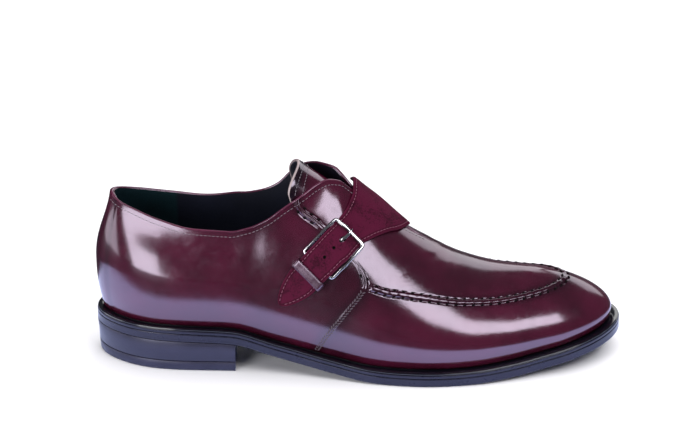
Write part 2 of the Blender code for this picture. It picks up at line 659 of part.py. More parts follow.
def build_tongue(finish):
    """Half pipe of leather over the instep, under both tabs and the slit."""
    along = np.linspace(TONGUE["along"][0], TONGUE["along"][-1], 13)[:, None]
    turn = np.linspace(-1, 1, 15)[None, :]
    side = np.sin(np.clip(turn * 1.25, -1, 1) * np.pi / 2)
    skirt = np.clip(abs(turn) * 1.25 - 1, 0, 1) * 4
    rear = np.clip((0.46 - along) / 0.09, 0, 1) ** 2
    x = along * LENGTH - TONGUE_HORN * rear * side ** 2 * (1 - 0.6 * skirt)
    half = np.where(side < 0, read(TONGUE, "lateral", along), read(TONGUE, "medial", along))
    y = read(OUTLINE, "ridge", along) + half * side
    rounded = 1 - (1 - side ** 2) ** read(TONGUE, "spread", along)
    fall = TONGUE_FALL * read(TONGUE, "fall", along) * rounded
    z = (feather_height(along * LENGTH) + read(TONGUE, "height", along) - fall
         - TONGUE_SKIRT * read(TONGUE, "skirt", along) * skirt)
    top = np.stack(np.broadcast_arrays(x, y, z), axis=-1)
    return sheet("tongue", top, TONGUE_THICK, finish)


def sheet(name, top, thick, finish):
    """A closed sheet under a grid of points: rows run along it, and its top faces out."""
    along_step = np.gradient(top, axis=0)
    across_step = np.gradient(top, axis=1)
    normal = np.cross(along_step, across_step)
    normal /= np.linalg.norm(normal, axis=-1, keepdims=True)
    return slab(name, top, top - normal * thick, finish)


def slab(name, top, under, finish):
    """A closed solid between two grids of points."""
    rows, across = top.shape[:2]
    count = rows * across
    points = np.concatenate((top.reshape(-1, 3), under.reshape(-1, 3)))
    number = np.arange(count).reshape(rows, across)
    faces = []
    for i in range(rows - 1):
        for j in range(across - 1):
            a, b, c, d = number[i, j], number[i + 1, j], number[i + 1, j + 1], number[i, j + 1]
            faces += [(a, b, c, d), (d + count, c + count, b + count, a + count)]
    border = list(number[0, :]) + list(number[1:, -1]) + list(number[-1, -2::-1]) + list(number[-2:0:-1, 0])
    for a, b in zip(border, border[1:] + border[:1]):
        faces.append((a, b, b + count, a + count))
    faces = [tuple(int(v) for v in face) for face in faces]
    return piece(name, points, faces, finish)


# The strap lies on the buckle side of the upper. Its own grid starts under the buckle's front bar:
# first length along the strap to its tip, then width towards the toe, then height over the upper.
BUCKLE_SECTION = 0.479
BUCKLE_LEVEL = 0.625
TAIL_WAY = (-0.715, -0.230, -0.660)
GRID_STEP = 0.0010
GRID_WIDE = 0.0270
GRID_SPARE = 0.0080


def slopes(section, level):
    """How the buckle side of the last runs with section and level, and its outward direction."""
    small = 1e-4
    along = (last(LATERAL, section + small, level) - last(LATERAL, section - small, level)) / (2 * small)
    over = (last(LATERAL, section, level + small) - last(LATERAL, section, level - small)) / (2 * small)
    normal = np.cross(along, over)
    return along, over, normal / np.linalg.norm(normal, axis=-1, keepdims=True)


def step_on(section, level, way, distance):
    """One straight step on the last."""
    along, over, normal = slopes(section, level)
    way = way - (way * normal).sum(-1, keepdims=True) * normal
    way /= np.linalg.norm(way, axis=-1, keepdims=True)
    aa, ab, bb = ((p * q).sum(-1) for p, q in ((along, along), (along, over), (over, over)))
    a, b = (along * way).sum(-1), (over * way).sum(-1)
    size = aa * bb - ab ** 2
    return section + distance * (a * bb - b * ab) / size, level + distance * (b * aa - a * ab) / size, way


def walk(section, level, way, count, distance):
    """Stations of a straight walk on the last."""
    places = [(section, level, way)]
    for _ in range(count):
        places.append(step_on(*places[-1], distance))
    return places


def strap_grid():
    """Points and outward directions of the upper on the strap's grid."""
    way = np.array(TAIL_WAY)
    start = (np.array(BUCKLE_SECTION), np.array(BUCKLE_LEVEL), way)
    tail = walk(*start, int(round((TAIL_LENGTH + GRID_SPARE) / GRID_STEP)), GRID_STEP)
    head = walk(start[0], start[1], -way, int(round(BASE_LENGTH / GRID_STEP)), GRID_STEP)
    line = [(s, t, -w) for s, t, w in head[:0:-1]] + tail
    section, level, way = (np.array([place[i] for place in line]) for i in range(3))
    normal = slopes(section, level)[2]
    across = np.cross(normal, way)
    wide = int(round(GRID_WIDE / GRID_STEP))
    plus = walk(section, level, across, wide, GRID_STEP)
    minus = walk(section, level, -across, wide, GRID_STEP)
    both = minus[:0:-1] + plus
    section, level = (np.stack([place[i] for place in both], axis=1) for i in range(2))
    return last(LATERAL, section, level), slopes(section, level)[2]


def on_strap(a, b, h):
    """A point on the strap's grid, from length, width and height."""
    a, b, h = np.broadcast_arrays(*(np.asarray(v, dtype=float) for v in (a, b, h)))
    i = (a + BASE_LENGTH) / GRID_STEP
    j = (b + GRID_WIDE) / GRID_STEP
    i0 = np.clip(np.floor(i).astype(int), 0, GRID_POINTS.shape[0] - 2)
    j0 = np.clip(np.floor(j).astype(int), 0, GRID_POINTS.shape[1] - 2)
    u, v = (i - i0)[..., None], (j - j0)[..., None]

    def blend(grid):
        return ((grid[i0, j0] * (1 - u) + grid[i0 + 1, j0] * u) * (1 - v)
                + (grid[i0, j0 + 1] * (1 - u) + grid[i0 + 1, j0 + 1] * u) * v)
    return blend(GRID_POINTS) + blend(GRID_NORMALS) * h[..., None]


# Strap: width to the front and to the heel of its middle line, and the height of its underside
STRAP = columns(
    "length  front               heel                lift",
    (-1.00 * BASE_LENGTH, 1.10 * STRAP_WIDTH, 1.10 * STRAP_WIDTH, 2.0 * GAP),
    (-0.75 * BASE_LENGTH, 1.02 * STRAP_WIDTH, 0.98 * STRAP_WIDTH, 1.3 * GAP),
    (-0.45 * BASE_LENGTH, 0.78 * STRAP_WIDTH, 0.68 * STRAP_WIDTH, 1.3 * GAP),
    (-0.20 * BASE_LENGTH, 0.60 * STRAP_WIDTH, 0.54 * STRAP_WIDTH, 1.3 * GAP),
    (0.00 * BUCKLE_LENGTH, 0.50 * STRAP_WIDTH, 0.50 * STRAP_WIDTH, 0.10 * STRAP_LIFT),
    (0.17 * BUCKLE_LENGTH, 0.50 * STRAP_WIDTH, 0.50 * STRAP_WIDTH, 0.37 * STRAP_LIFT),
    (0.33 * BUCKLE_LENGTH, 0.50 * STRAP_WIDTH, 0.50 * STRAP_WIDTH, 0.70 * STRAP_LIFT),
    (0.58 * BUCKLE_LENGTH, 0.49 * STRAP_WIDTH, 0.49 * STRAP_WIDTH, 0.94 * STRAP_LIFT),
    (0.92 * BUCKLE_LENGTH, 0.48 * STRAP_WIDTH, 0.48 * STRAP_WIDTH, 1.00 * STRAP_LIFT),
    (1.08 * BUCKLE_LENGTH, 0.47 * STRAP_WIDTH, 0.47 * STRAP_WIDTH, 0.98 * STRAP_LIFT),
    (1.30 * BUCKLE_LENGTH, 0.46 * STRAP_WIDTH, 0.46 * STRAP_WIDTH, 0.61 * STRAP_LIFT),
    (1.54 * BUCKLE_LENGTH, 0.46 * STRAP_WIDTH, 0.46 * STRAP_WIDTH, 0.33 * STRAP_LIFT),
    (1.90 * BUCKLE_LENGTH, 0.46 * STRAP_WIDTH, 0.46 * STRAP_WIDTH, 0.16 * STRAP_LIFT),
    (1.00 * TAIL_LENGTH, 0.46 * STRAP_WIDTH, 0.46 * STRAP_WIDTH, 0.10 * STRAP_LIFT),
)
TIP_START = 0.69 * TAIL_LENGTH


def tip_share(length):
    """Narrowing of the strap to its pointed tip."""
    way = np.clip((length - TIP_START) / (TAIL_LENGTH - TIP_START), 0, 1)
    return np.sqrt(1 - way ** 1.7) * (1 - 0.25 * way) + 0.04 * way


def strap_tube(name, stations, finish, loop=False):
    """A solid along a row of equal profiles, given as length, width and height on the strap's grid."""
    points = on_strap(stations[..., 0], stations[..., 1], stations[..., 2])
    rows, count = points.shape[:2]
    numbers = [list(range(count * i, count * (i + 1))) for i in range(rows)]
    faces = quads(numbers + numbers[:1] if loop else numbers)
    if not loop:
        faces += [tuple(numbers[-1]), tuple(numbers[0][::-1])]
    made = piece(name, points.reshape(-1, 3), faces, finish)
    work = bmesh.new()
    work.from_mesh(made.data)
    bmesh.ops.recalc_face_normals(work, faces=work.faces)
    work.to_mesh(made.data)
    work.free()
    return made


def cut(target, cutter):
    """Cut one solid out of another, and keep the cutter out of sight."""
    cutter.hide_render = True
    cutter.display_type = "WIRE"
    change = target.modifiers.new(cutter.name, "BOOLEAN")
    change.operation = "DIFFERENCE"
    change.solver = "EXACT"
    change.object = cutter


def prism(name, middle, length, width, sides, low, high, finish):
    """An upright cutter on the strap's grid, as an oval with few sides."""
    angle = (np.arange(sides) + 0.5) * 2 * np.pi / sides
    reach = np.cos(np.pi / sides)
    oval = np.stack((middle + length / 2 * np.cos(angle) / reach,
                     width / 2 * np.sin(angle) / reach), axis=-1)
    rings = [np.column_stack((oval, np.full(sides, height))) for height in (low, high)]
    return strap_tube(name, np.stack(rings), finish)


def path_normals(path):
    """Directions square to a flat path, on its left."""
    step = np.gradient(path, axis=0)
    step /= np.linalg.norm(step, axis=1, keepdims=True)
    return np.stack((-step[:, 1], step[:, 0]), axis=-1)


def build_strap(suede):
    """Suede strap from the far side of the throat through the buckle, with its row of holes."""
    lengths = np.concatenate((
        np.linspace(-BASE_LENGTH, -0.1 * BASE_LENGTH, 8), np.linspace(0, 0.42 * BUCKLE_LENGTH, 5),
        np.linspace(0.58 * BUCKLE_LENGTH, KEEPER_DISTANCE, 5),
        KEEPER_DISTANCE + KEEPER_WIDTH * np.array((0.5, 1.0)),
        np.linspace(1.065 * TIP_START, TAIL_LENGTH, 8)))[:, None]
    share = np.linspace(-1, 1, 7)[None, :]
    narrow = tip_share(lengths)
    front, heel = read(STRAP, "front", lengths) * narrow, read(STRAP, "heel", lengths) * narrow
    wide = np.where(share < 0, share * heel, share * front)
    lift = read(STRAP, "lift", lengths) + 0 * share
    strap = slab("strap", on_strap(lengths, wide, lift + STRAP_THICK), on_strap(lengths, wide, lift), suede)
    over = STRAP_LIFT + 2 * STRAP_THICK
    cut(strap, prism("prong_slot", HOLE_AT, SLOT_LENGTH, PRONG_WIDTH + 3 * GAP, 4, 0.0, over, suede))
    for number in (1, 2):
        place = HOLE_AT + number * HOLE_PITCH
        cut(strap, prism(f"hole_{number}", place, HOLE_SIZE, HOLE_SIZE, 8, 0.0, over, suede))


# Middle line of the chape in its length and height: along the upper, round the heel bar and back
CHAPE = columns(
    "length               height",
    (1.48 * BUCKLE_LENGTH, GAP + 0.5 * CHAPE_THICK),
    (1.34 * BUCKLE_LENGTH, GAP + 0.5 * CHAPE_THICK),
    (1.19 * BUCKLE_LENGTH, GAP + 0.5 * CHAPE_THICK),
    (1.04 * BUCKLE_LENGTH, GAP + 0.5 * CHAPE_THICK),
    (0.942 * BUCKLE_LENGTH, GAP + 0.5 * CHAPE_THICK),
    (0.904 * BUCKLE_LENGTH, 0.48 * HEEL_BAR_HEIGHT),
    (0.887 * BUCKLE_LENGTH, 1.00 * HEEL_BAR_HEIGHT),
    (0.900 * BUCKLE_LENGTH, 1.44 * HEEL_BAR_HEIGHT),
    (0.942 * BUCKLE_LENGTH, 1.62 * HEEL_BAR_HEIGHT),
    (1.020 * BUCKLE_LENGTH, 1.62 * HEEL_BAR_HEIGHT),
    (1.092 * BUCKLE_LENGTH, 1.55 * HEEL_BAR_HEIGHT),
    (1.167 * BUCKLE_LENGTH, 1.20 * HEEL_BAR_HEIGHT),
    (1.229 * BUCKLE_LENGTH, 0.92 * HEEL_BAR_HEIGHT),
    (1.333 * BUCKLE_LENGTH, 0.88 * HEEL_BAR_HEIGHT),
)


def build_chape(leather):
    """Leather strip which is folded round the buckle's heel bar, with a slot for the prong."""
    path = np.stack((CHAPE["length"], CHAPE["height"]), axis=-1)
    offset = CHAPE_THICK / 2 * path_normals(path)
    outline = np.concatenate((path + offset, (path - offset)[::-1]))
    stations = [np.column_stack((outline[:, 0], np.full(len(outline), width), outline[:, 1]))
                for width in np.linspace(-CHAPE_WIDTH / 2, CHAPE_WIDTH / 2, 5)]
    chape = strap_tube("chape", np.stack(stations), leather)
    wide = PRONG_WIDTH + 3 * GAP
    cut(chape, prism("chape_slot", BUCKLE_LENGTH, CHAPE_SLOT, wide, 4, -GAP, STRAP_LIFT, leather))


def build_keeper(leather):
    """Leather loop over the strap, with both legs on the upper."""
    reach = read(STRAP, "front", KEEPER_DISTANCE) + 2 * GAP + KEEPER_THICK / 2
    shoulder = np.array((1.00, 1.00, 0.96, 0.87, 0.61, 0.31, 0.00))
    drop = np.array((1.00, 0.40, 0.12, 0.00, 0.00, 0.00, 0.00))
    stations = []
    for length in np.linspace(KEEPER_DISTANCE, KEEPER_DISTANCE + KEEPER_WIDTH, 3):
        high = read(STRAP, "lift", length) + STRAP_THICK + 1.5 * GAP + KEEPER_THICK / 2
        height = high - drop * (high - GAP)
        path = np.stack((np.concatenate((-reach * shoulder, reach * shoulder[-2::-1])),
                         np.concatenate((height, height[-2::-1]))), axis=-1)
        offset = KEEPER_THICK / 2 * path_normals(path)
        outline = np.concatenate((path + offset, (path - offset)[::-1]))
        stations.append(np.column_stack((np.full(len(outline), length), outline)))
    strap_tube("keeper", np.stack(stations), leather)


def build_frame(steel):
    """Buckle frame: a rounded oblong of bar, which is higher at the front bar, over the strap."""
    corner = np.radians((9, 27, 39, 43, 47, 51, 63, 81))
    angle = (np.arange(4)[:, None] * np.pi / 2 + corner).ravel()
    square = 20
    radius = (abs(np.cos(angle)) ** square + abs(np.sin(angle)) ** square) ** (-1 / square)
    length = BUCKLE_LENGTH / 2 * (1 - radius * np.cos(angle))
    width = BUCKLE_WIDTH / 2 * radius * np.sin(angle)
    height = FRONT_BAR_HEIGHT + (HEEL_BAR_HEIGHT - FRONT_BAR_HEIGHT) * length / BUCKLE_LENGTH
    along = np.stack((np.roll(length, -1) - np.roll(length, 1), np.roll(width, -1) - np.roll(width, 1)))
    along /= np.linalg.norm(along, axis=0)
    turn = (np.arange(8) + 0.5) * np.pi / 4
    out = BAR_WIDTH / 2 * np.cos(turn) / np.cos(np.pi / 8)
    up = BAR_THICK / 2 * np.sin(turn) / np.cos(np.pi / 8)
    stations = np.stack((length[:, None] - along[1][:, None] * out, width[:, None] + along[0][:, None] * out,
                         height[:, None] + up), axis=-1)
    strap_tube("buckle_frame", stations, steel, loop=True)


# Middle line of the prong in its length and height: round the heel bar, under the strap, up through
# its slot and onto the front bar
PRONG = columns(
    "length                height",
    (1.000 * BUCKLE_LENGTH, 0.140 * PRONG_HEIGHT),
    (1.050 * BUCKLE_LENGTH, 0.192 * PRONG_HEIGHT),
    (1.075 * BUCKLE_LENGTH, 0.433 * PRONG_HEIGHT),
    (1.047 * BUCKLE_LENGTH, 0.660 * PRONG_HEIGHT),
    (1.000 * BUCKLE_LENGTH, 0.718 * PRONG_HEIGHT),
    (0.830 * BUCKLE_LENGTH, 0.710 * PRONG_HEIGHT),
    (0.580 * BUCKLE_LENGTH, 0.640 * PRONG_HEIGHT),
    (0.420 * BUCKLE_LENGTH, 0.540 * PRONG_HEIGHT),
    (0.315 * BUCKLE_LENGTH, 0.490 * PRONG_HEIGHT),
    (0.230 * BUCKLE_LENGTH, 0.640 * PRONG_HEIGHT),
    (0.125 * BUCKLE_LENGTH, 0.865 * PRONG_HEIGHT),
    (0.055 * BUCKLE_LENGTH, 0.980 * PRONG_HEIGHT),
    (0.000 * BUCKLE_LENGTH, 1.000 * PRONG_HEIGHT),
    (-0.052 * BUCKLE_LENGTH, 0.970 * PRONG_HEIGHT),
)


def build_prong(steel):
    """Flat prong, bent round the heel bar, with a narrower tip on the front bar."""
    path = np.stack((PRONG["length"], PRONG["height"]), axis=-1)
    normal = path_normals(path)
    stations = []
    for (length, height), (over, up) in zip(path, normal):
        half = PRONG_WIDTH / 2 * (0.7 if length < 0 else 1.0)
        corners = [(side, face) for side, face in ((-half, -1), (half, -1), (half, 1), (-half, 1))]
        stations.append([(length + face * over * PRONG_THICK / 2, side, height + face * up * PRONG_THICK / 2)
                         for side, face in corners])
    strap_tube("buckle_prong", np.array(stations), steel)


def centre_shoe():
    """Put the middle of the finished shoe's plan at the origin."""
    pieces = [made for made in bpy.context.scene.objects if made.type == "MESH"]
    meshes = [made.data for made in pieces]
    places = np.array([vertex.co for made in pieces if not made.hide_render for vertex in made.data.vertices])
    middle = (places.min(axis=0) + places.max(axis=0)) / 2
    for mesh in meshes:
        for vertex in mesh.vertices:
            vertex.co.x -= middle[0]
            vertex.co.y -= middle[1]


clear_scene()
GRID_POINTS, GRID_NORMALS = strap_grid()
leather = material("burgundy_leather", (0.085, 0.012, 0.035), 0.16, coat=0.6)
suede = material("burgundy_suede", (0.16, 0.02, 0.06), 0.9)
steel = material("polished_steel", (0.75, 0.75, 0.78), 0.08, metal=1.0)
build_bottom()
build_upper(leather)
build_tongue(leather)
build_strap(suede)
build_chape(leather)
build_keeper(leather)
build_frame(steel)
build_prong(steel)
centre_shoe()
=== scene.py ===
"""Looks of the monk strap shoe, put together from the sole up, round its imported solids."""

import bmesh
import bpy
import numpy as np
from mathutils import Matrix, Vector


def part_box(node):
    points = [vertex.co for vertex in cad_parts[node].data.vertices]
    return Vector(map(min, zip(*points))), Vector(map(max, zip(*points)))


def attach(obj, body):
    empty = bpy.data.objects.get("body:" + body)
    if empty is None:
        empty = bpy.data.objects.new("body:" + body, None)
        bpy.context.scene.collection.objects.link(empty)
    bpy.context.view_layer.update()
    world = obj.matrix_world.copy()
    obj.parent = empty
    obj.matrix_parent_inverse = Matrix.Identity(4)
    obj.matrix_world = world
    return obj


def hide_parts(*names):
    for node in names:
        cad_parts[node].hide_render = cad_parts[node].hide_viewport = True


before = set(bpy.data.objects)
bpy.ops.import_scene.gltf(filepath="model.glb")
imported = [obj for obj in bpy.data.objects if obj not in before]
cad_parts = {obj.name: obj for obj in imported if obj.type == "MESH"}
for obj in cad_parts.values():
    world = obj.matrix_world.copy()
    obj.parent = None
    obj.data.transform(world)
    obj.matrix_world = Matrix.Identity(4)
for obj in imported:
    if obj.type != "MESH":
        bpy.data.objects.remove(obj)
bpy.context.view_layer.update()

# Outsole. A leather sole with a black waxed edge, cut flat at its side and a little sharp at its lower
# lip. It is cemented and sewn under the welt, and its tread is plain.
LENGTH = 0.300
BALL_WIDTH = 0.1015
WAIST_WIDTH = 0.0685
HEEL_WIDTH = 0.0690
SOLE_THICK = 0.0048
WELT_THICK = 0.0030
HEEL_HEIGHT = 0.0188
TOE_SPRING = 0.0120
GAP = 0.0003
LATERAL, MEDIAL = -1, 1
SIDE_NAME = {LATERAL: "lateral", MEDIAL: "medial"}


def columns(names, *rows):
    """A table whose columns are called by name."""
    return dict(zip(names.split(), np.array(rows, dtype=float).T))


def read(table, column, at):
    """Monotone cubic through a column: each piece is a Hermite curve with harmonic mean slopes."""
    knots = next(iter(table.values()))
    values = table[column]
    step = np.diff(knots)
    rate = np.diff(values) / step
    slope = np.concatenate(([rate[0]], np.zeros(len(rate) - 1), [rate[-1]]))
    same = rate[:-1] * rate[1:] > 0
    before, after = step[1:] * 2 + step[:-1], step[1:] + step[:-1] * 2
    with np.errstate(divide="ignore", invalid="ignore"):
        mean = (before + after) / (before / rate[:-1] + after / rate[1:])
    slope[1:-1] = np.where(same, mean, 0.0)
    at = np.clip(at, knots[0], knots[-1])
    i = np.clip(np.searchsorted(knots, at, side="right") - 1, 0, len(step) - 1)
    u = (at - knots[i]) / step[i]
    return (values[i] * (1 + 2 * u) * (1 - u) ** 2 + values[i + 1] * (3 - 2 * u) * u ** 2
            + step[i] * (slope[i] * u * (1 - u) ** 2 - slope[i + 1] * (1 - u) * u ** 2))


OUTLINE = columns(
    "along  lateral             medial              shift  ridge",
    (0.000, 0.385 * HEEL_WIDTH, 0.375 * HEEL_WIDTH, 0.000, 0.000),
    (0.090, 0.450 * HEEL_WIDTH, 0.440 * HEEL_WIDTH, 0.000, 0.000),
    (0.170, 0.500 * HEEL_WIDTH, 0.470 * HEEL_WIDTH, 0.000, 0.000),
    (0.257, 0.515 * HEEL_WIDTH, 0.455 * HEEL_WIDTH, 0.000, 0.010 * BALL_WIDTH),
    (0.373, 0.585 * WAIST_WIDTH, 0.400 * WAIST_WIDTH, 0.000, 0.020 * BALL_WIDTH),
    (0.450, 0.662 * WAIST_WIDTH, 0.455 * WAIST_WIDTH, 0.000, 0.025 * BALL_WIDTH),
    (0.540, 0.510 * BALL_WIDTH, 0.395 * BALL_WIDTH, 0.000, 0.030 * BALL_WIDTH),
    (0.630, 0.537 * BALL_WIDTH, 0.455 * BALL_WIDTH, 0.000, 0.030 * BALL_WIDTH),
    (0.720, 0.517 * BALL_WIDTH, 0.450 * BALL_WIDTH, 0.005 * BALL_WIDTH, 0.030 * BALL_WIDTH),
    (0.793, 0.465 * BALL_WIDTH, 0.425 * BALL_WIDTH, 0.010 * BALL_WIDTH, 0.030 * BALL_WIDTH),
    (0.867, 0.393 * BALL_WIDTH, 0.372 * BALL_WIDTH, 0.015 * BALL_WIDTH, 0.025 * BALL_WIDTH),
    (0.930, 0.338 * BALL_WIDTH, 0.330 * BALL_WIDTH, 0.020 * BALL_WIDTH, 0.020 * BALL_WIDTH),
    (1.000, 0.300 * BALL_WIDTH, 0.300 * BALL_WIDTH, 0.020 * BALL_WIDTH, 0.020 * BALL_WIDTH),
)
HEEL_ROUND = 0.125
TOE_ROUND = 0.120
UNDERSIDE = columns(
    "along  height",
    (0.000, 1.000 * HEEL_HEIGHT),
    (0.130, 0.985 * HEEL_HEIGHT),
    (0.257, 0.920 * HEEL_HEIGHT),
    (0.340, 0.590 * HEEL_HEIGHT),
    (0.440, 0.240 * HEEL_HEIGHT),
    (0.520, 0.040 * HEEL_HEIGHT),
    (0.570, 0.000 * TOE_SPRING),
    (0.670, 0.000 * TOE_SPRING),
    (0.760, 0.110 * TOE_SPRING),
    (0.867, 0.420 * TOE_SPRING),
    (0.935, 0.690 * TOE_SPRING),
    (1.000, 1.000 * TOE_SPRING),
)


def underside(x):
    """Height of the sole's underside: heel seat, arch, tread, toe spring."""
    return read(UNDERSIDE, "height", x / LENGTH)


def sole_edge(side, section, inset=0.0):
    """One side of the sole in plan: half width times two quarter ellipses, moved in along its normal."""
    def plan(turn):
        s = (1 - np.cos(np.pi * turn)) / 2
        heel = 1 - np.clip(s / HEEL_ROUND, 0, 1)
        toe = 1 - np.clip((1 - s) / TOE_ROUND, 0, 1)
        half = read(OUTLINE, SIDE_NAME[side], s) * np.sqrt(1 - heel ** 2) * np.sqrt(1 - toe ** 2)
        return np.stack((s * LENGTH, read(OUTLINE, "shift", s) + side * half), axis=-1)

    turn = np.arccos(np.clip(1 - 2 * np.asarray(section, dtype=float), -1, 1)) / np.pi
    small = 1e-4
    tangent = plan(np.minimum(turn + small, 1)) - plan(np.maximum(turn - small, 0))
    tangent /= np.linalg.norm(tangent, axis=-1, keepdims=True)
    outward = side * np.stack((-tangent[..., 1], tangent[..., 0]), axis=-1)
    return plan(turn) - outward * np.asarray(inset)[..., None], outward


def both_sides(surface, sections):
    """A closed ring from heel to toe on the buckle side and home on the inner side."""
    lateral, medial = surface(LATERAL, sections), surface(MEDIAL, sections)
    lateral[0] = medial[0] = (lateral[0] + medial[0]) / 2
    lateral[-1] = medial[-1] = (lateral[-1] + medial[-1]) / 2
    return np.concatenate((lateral, medial[-2:0:-1]))


def sole_ring(sections, inset, height):
    """A ring on the sole's outline, moved in by the inset, at a height over the floor."""
    def surface(side, section):
        plan = sole_edge(side, section, np.broadcast_to(inset(section), section.shape))[0]
        return np.concatenate((plan, height(plan[..., :1])), axis=-1)
    return both_sides(surface, sections)


sole_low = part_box("outsole")[0]
half_buckle_side = -sole_edge(LATERAL, np.linspace(0, 1, 2000))[0][:, 1].min()
TO_FRAME = np.array((sole_low.x, sole_low.y + half_buckle_side, 0.0))


def set_out(name, mesh, finishes, facts, mend):
    """A smooth object of a mesh, with its finishes and the facts at its points, after a mend."""
    for finish in finishes:
        mesh.materials.append(finish)
    for fact, values in (facts or {}).items():
        column = mesh.attributes.new(fact, "FLOAT", "POINT").data
        column.foreach_set("value", np.asarray(values, np.float32).ravel())
    work = bmesh.new()
    work.from_mesh(mesh)
    mend(work)
    work.to_mesh(mesh)
    work.free()
    mesh.shade_smooth()
    made = bpy.data.objects.new(name, mesh)
    bpy.context.scene.collection.objects.link(made)
    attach(made, "root")
    return made


def merge_doubles(work):
    """Points at one place become one, and faces without area go."""
    bmesh.ops.remove_doubles(work, verts=work.verts, dist=2e-6)
    bmesh.ops.dissolve_degenerate(work, edges=work.edges, dist=1e-7)


def make_piece(name, points, faces, finishes, numbers=None, facts=None):
    """A smooth mesh from points and faces, with its place moved into the frame and its doubles merged."""
    mesh = bpy.data.meshes.new(name)
    mesh.from_pydata((points + TO_FRAME).tolist(), [], faces.tolist())
    if numbers is not None:
        mesh.polygons.foreach_set("material_index", np.asarray(numbers, dtype=np.int32))
    return set_out(name, mesh, finishes, facts, merge_doubles)


def grid_faces(rows, count, wrap_rows=False, wrap_count=False):
    """Quads of a grid whose points run along each row and then row by row."""
    i = np.arange(rows if wrap_rows else rows - 1)[:, None]
    j = np.arange(count if wrap_count else count - 1)[None, :]
    n, m = (j + 1) % count, (i + 1) % rows
    return np.stack(np.broadcast_arrays(i * count + j, i * count + n, m * count + n, m * count + j),
                    axis=-1).reshape(-1, 4)


def lid_faces(first, count, up):
    """Quads across a ring, from its buckle side to its inner side."""
    k = np.arange(count // 2)
    quads = np.stack((k, k + 1, (count - k - 1) % count, (count - k) % count), axis=-1) + first
    return quads if up else quads[:, ::-1]


def plate(name, rings, finish):
    """A solid of rings from below to above, closed by a lid at each end."""
    rows, count = len(rings), len(rings[0])
    faces = (grid_faces(rows, count, wrap_count=True), lid_faces(0, count, False),
             lid_faces((rows - 1) * count, count, True))
    return make_piece(name, np.concatenate(rings), np.concatenate(faces), [finish])


def new_finish(name, **settings):
    """A material with its even values set on the shader's own sockets."""
    made = bpy.data.materials.new(name)
    made.use_nodes = True
    shader = made.node_tree.nodes["Principled BSDF"]
    for socket, value in settings.items():
        shader.inputs[socket.replace("_", " ")].default_value = value
    return made, made.node_tree, shader


def put(tree, kind, inputs=None, **settings):
    """A node with its settings, and each input linked or set."""
    node = tree.nodes.new(kind)
    for key, value in settings.items():
        setattr(node, key, value)
    for key, value in (inputs or {}).items():
        if isinstance(value, bpy.types.NodeSocket):
            tree.links.new(value, node.inputs[key])
        else:
            node.inputs[key].default_value = value
    return node


def ramp(tree, value, *stops):
    """A colour ramp through stops of place and colour."""
    node = put(tree, "ShaderNodeValToRGB", {"Fac": value})
    parts = node.color_ramp.elements
    while len(parts) < len(stops):
        parts.new(0.5)
    for part, (place, colour) in zip(parts, stops):
        part.position = place
        part.color = (*colour, 1.0) if len(colour) == 3 else (colour[0],) * 3 + (1.0,)
    return node.outputs["Color"]


def small_marks():
    """Group for marks on any surface: soft clouds, fine pores and scuffs on Object coordinates."""
    group = bpy.data.node_groups.new("small_marks", "ShaderNodeTree")
    for name, value in (("Cloud Scale", 30.0), ("Pore Scale", 1200.0), ("Scuff Scale", 160.0)):
        group.interface.new_socket(name, in_out="INPUT", socket_type="NodeSocketFloat").default_value = value
    for name in ("Clouds", "Pores", "Scuffs"):
        group.interface.new_socket(name, in_out="OUTPUT", socket_type="NodeSocketFloat")
    source = group.nodes.new("NodeGroupInput")
    place = group.nodes.new("ShaderNodeTexCoord").outputs["Object"]
    clouds = put(group, "ShaderNodeTexNoise", {"Vector": place, "Scale": source.outputs["Cloud Scale"],
                                               "Detail": 3.0, "Roughness": 0.55})
    pores = put(group, "ShaderNodeTexVoronoi", {"Vector": place, "Scale": source.outputs["Pore Scale"]})
    scuffs = put(group, "ShaderNodeTexNoise", {"Vector": place, "Scale": source.outputs["Scuff Scale"],
                                               "Detail": 6.0, "Roughness": 0.6, "Distortion": 0.6})
    end = group.nodes.new("NodeGroupOutput")
    group.links.new(clouds.outputs["Fac"], end.inputs["Clouds"])
    group.links.new(pores.outputs["Distance"], end.inputs["Pores"])
    group.links.new(scuffs.outputs["Fac"], end.inputs["Scuffs"])
    return group


MARKS = small_marks()


def marks(tree, cloud=30.0, pore=1200.0, scuff=160.0):
    """The marks group placed in a material with its own scales."""
    node = tree.nodes.new("ShaderNodeGroup")
    node.node_tree = MARKS
    for name, value in (("Cloud Scale", cloud), ("Pore Scale", pore), ("Scuff Scale", scuff)):
        node.inputs[name].default_value = value
    return node.outputs


def dye(name, dark, light, rough, bump, cloud=40.0, pore=1400.0, scuff=220.0, **settings):
    """A finish whose colour and gloss drift between two values, with fine pores."""
    made, tree, shader = new_finish(name, **settings)
    spots = marks(tree, cloud, pore, scuff)
    colour = ramp(tree, spots["Clouds"], (0.3, dark), (0.7, light))
    gloss = put(tree, "ShaderNodeMapRange", {"Value": spots["Scuffs"], "From Min": 0.3, "From Max": 0.7,
                                             "To Min": rough[0], "To Max": rough[1]})
    relief = put(tree, "ShaderNodeMath", {0: spots["Pores"], 1: spots["Scuffs"]}, operation="ADD")
    dent = put(tree, "ShaderNodeBump", {"Height": relief.outputs[0], "Strength": bump, "Distance": 0.0002})
    tree.links.new(colour, shader.inputs["Base Color"])
    tree.links.new(gloss.outputs[0], shader.inputs["Roughness"])
    tree.links.new(dent.outputs[0], shader.inputs["Normal"])
    return made


EDGE_SHINE = (0.74, 0.76, 1.0, 1.0)
edge_black = dye("waxed_edge", (0.006, 0.0055, 0.012), (0.011, 0.010, 0.021), (0.24, 0.36), 0.08,
                 Specular_IOR_Level=0.45, Specular_Tint=EDGE_SHINE)
SOLE_SECTIONS = (1 - np.cos(np.linspace(0, np.pi, 241))) / 2


def raised(function, offset):
    """A height function moved up by an offset."""
    return lambda x: function(x) + offset


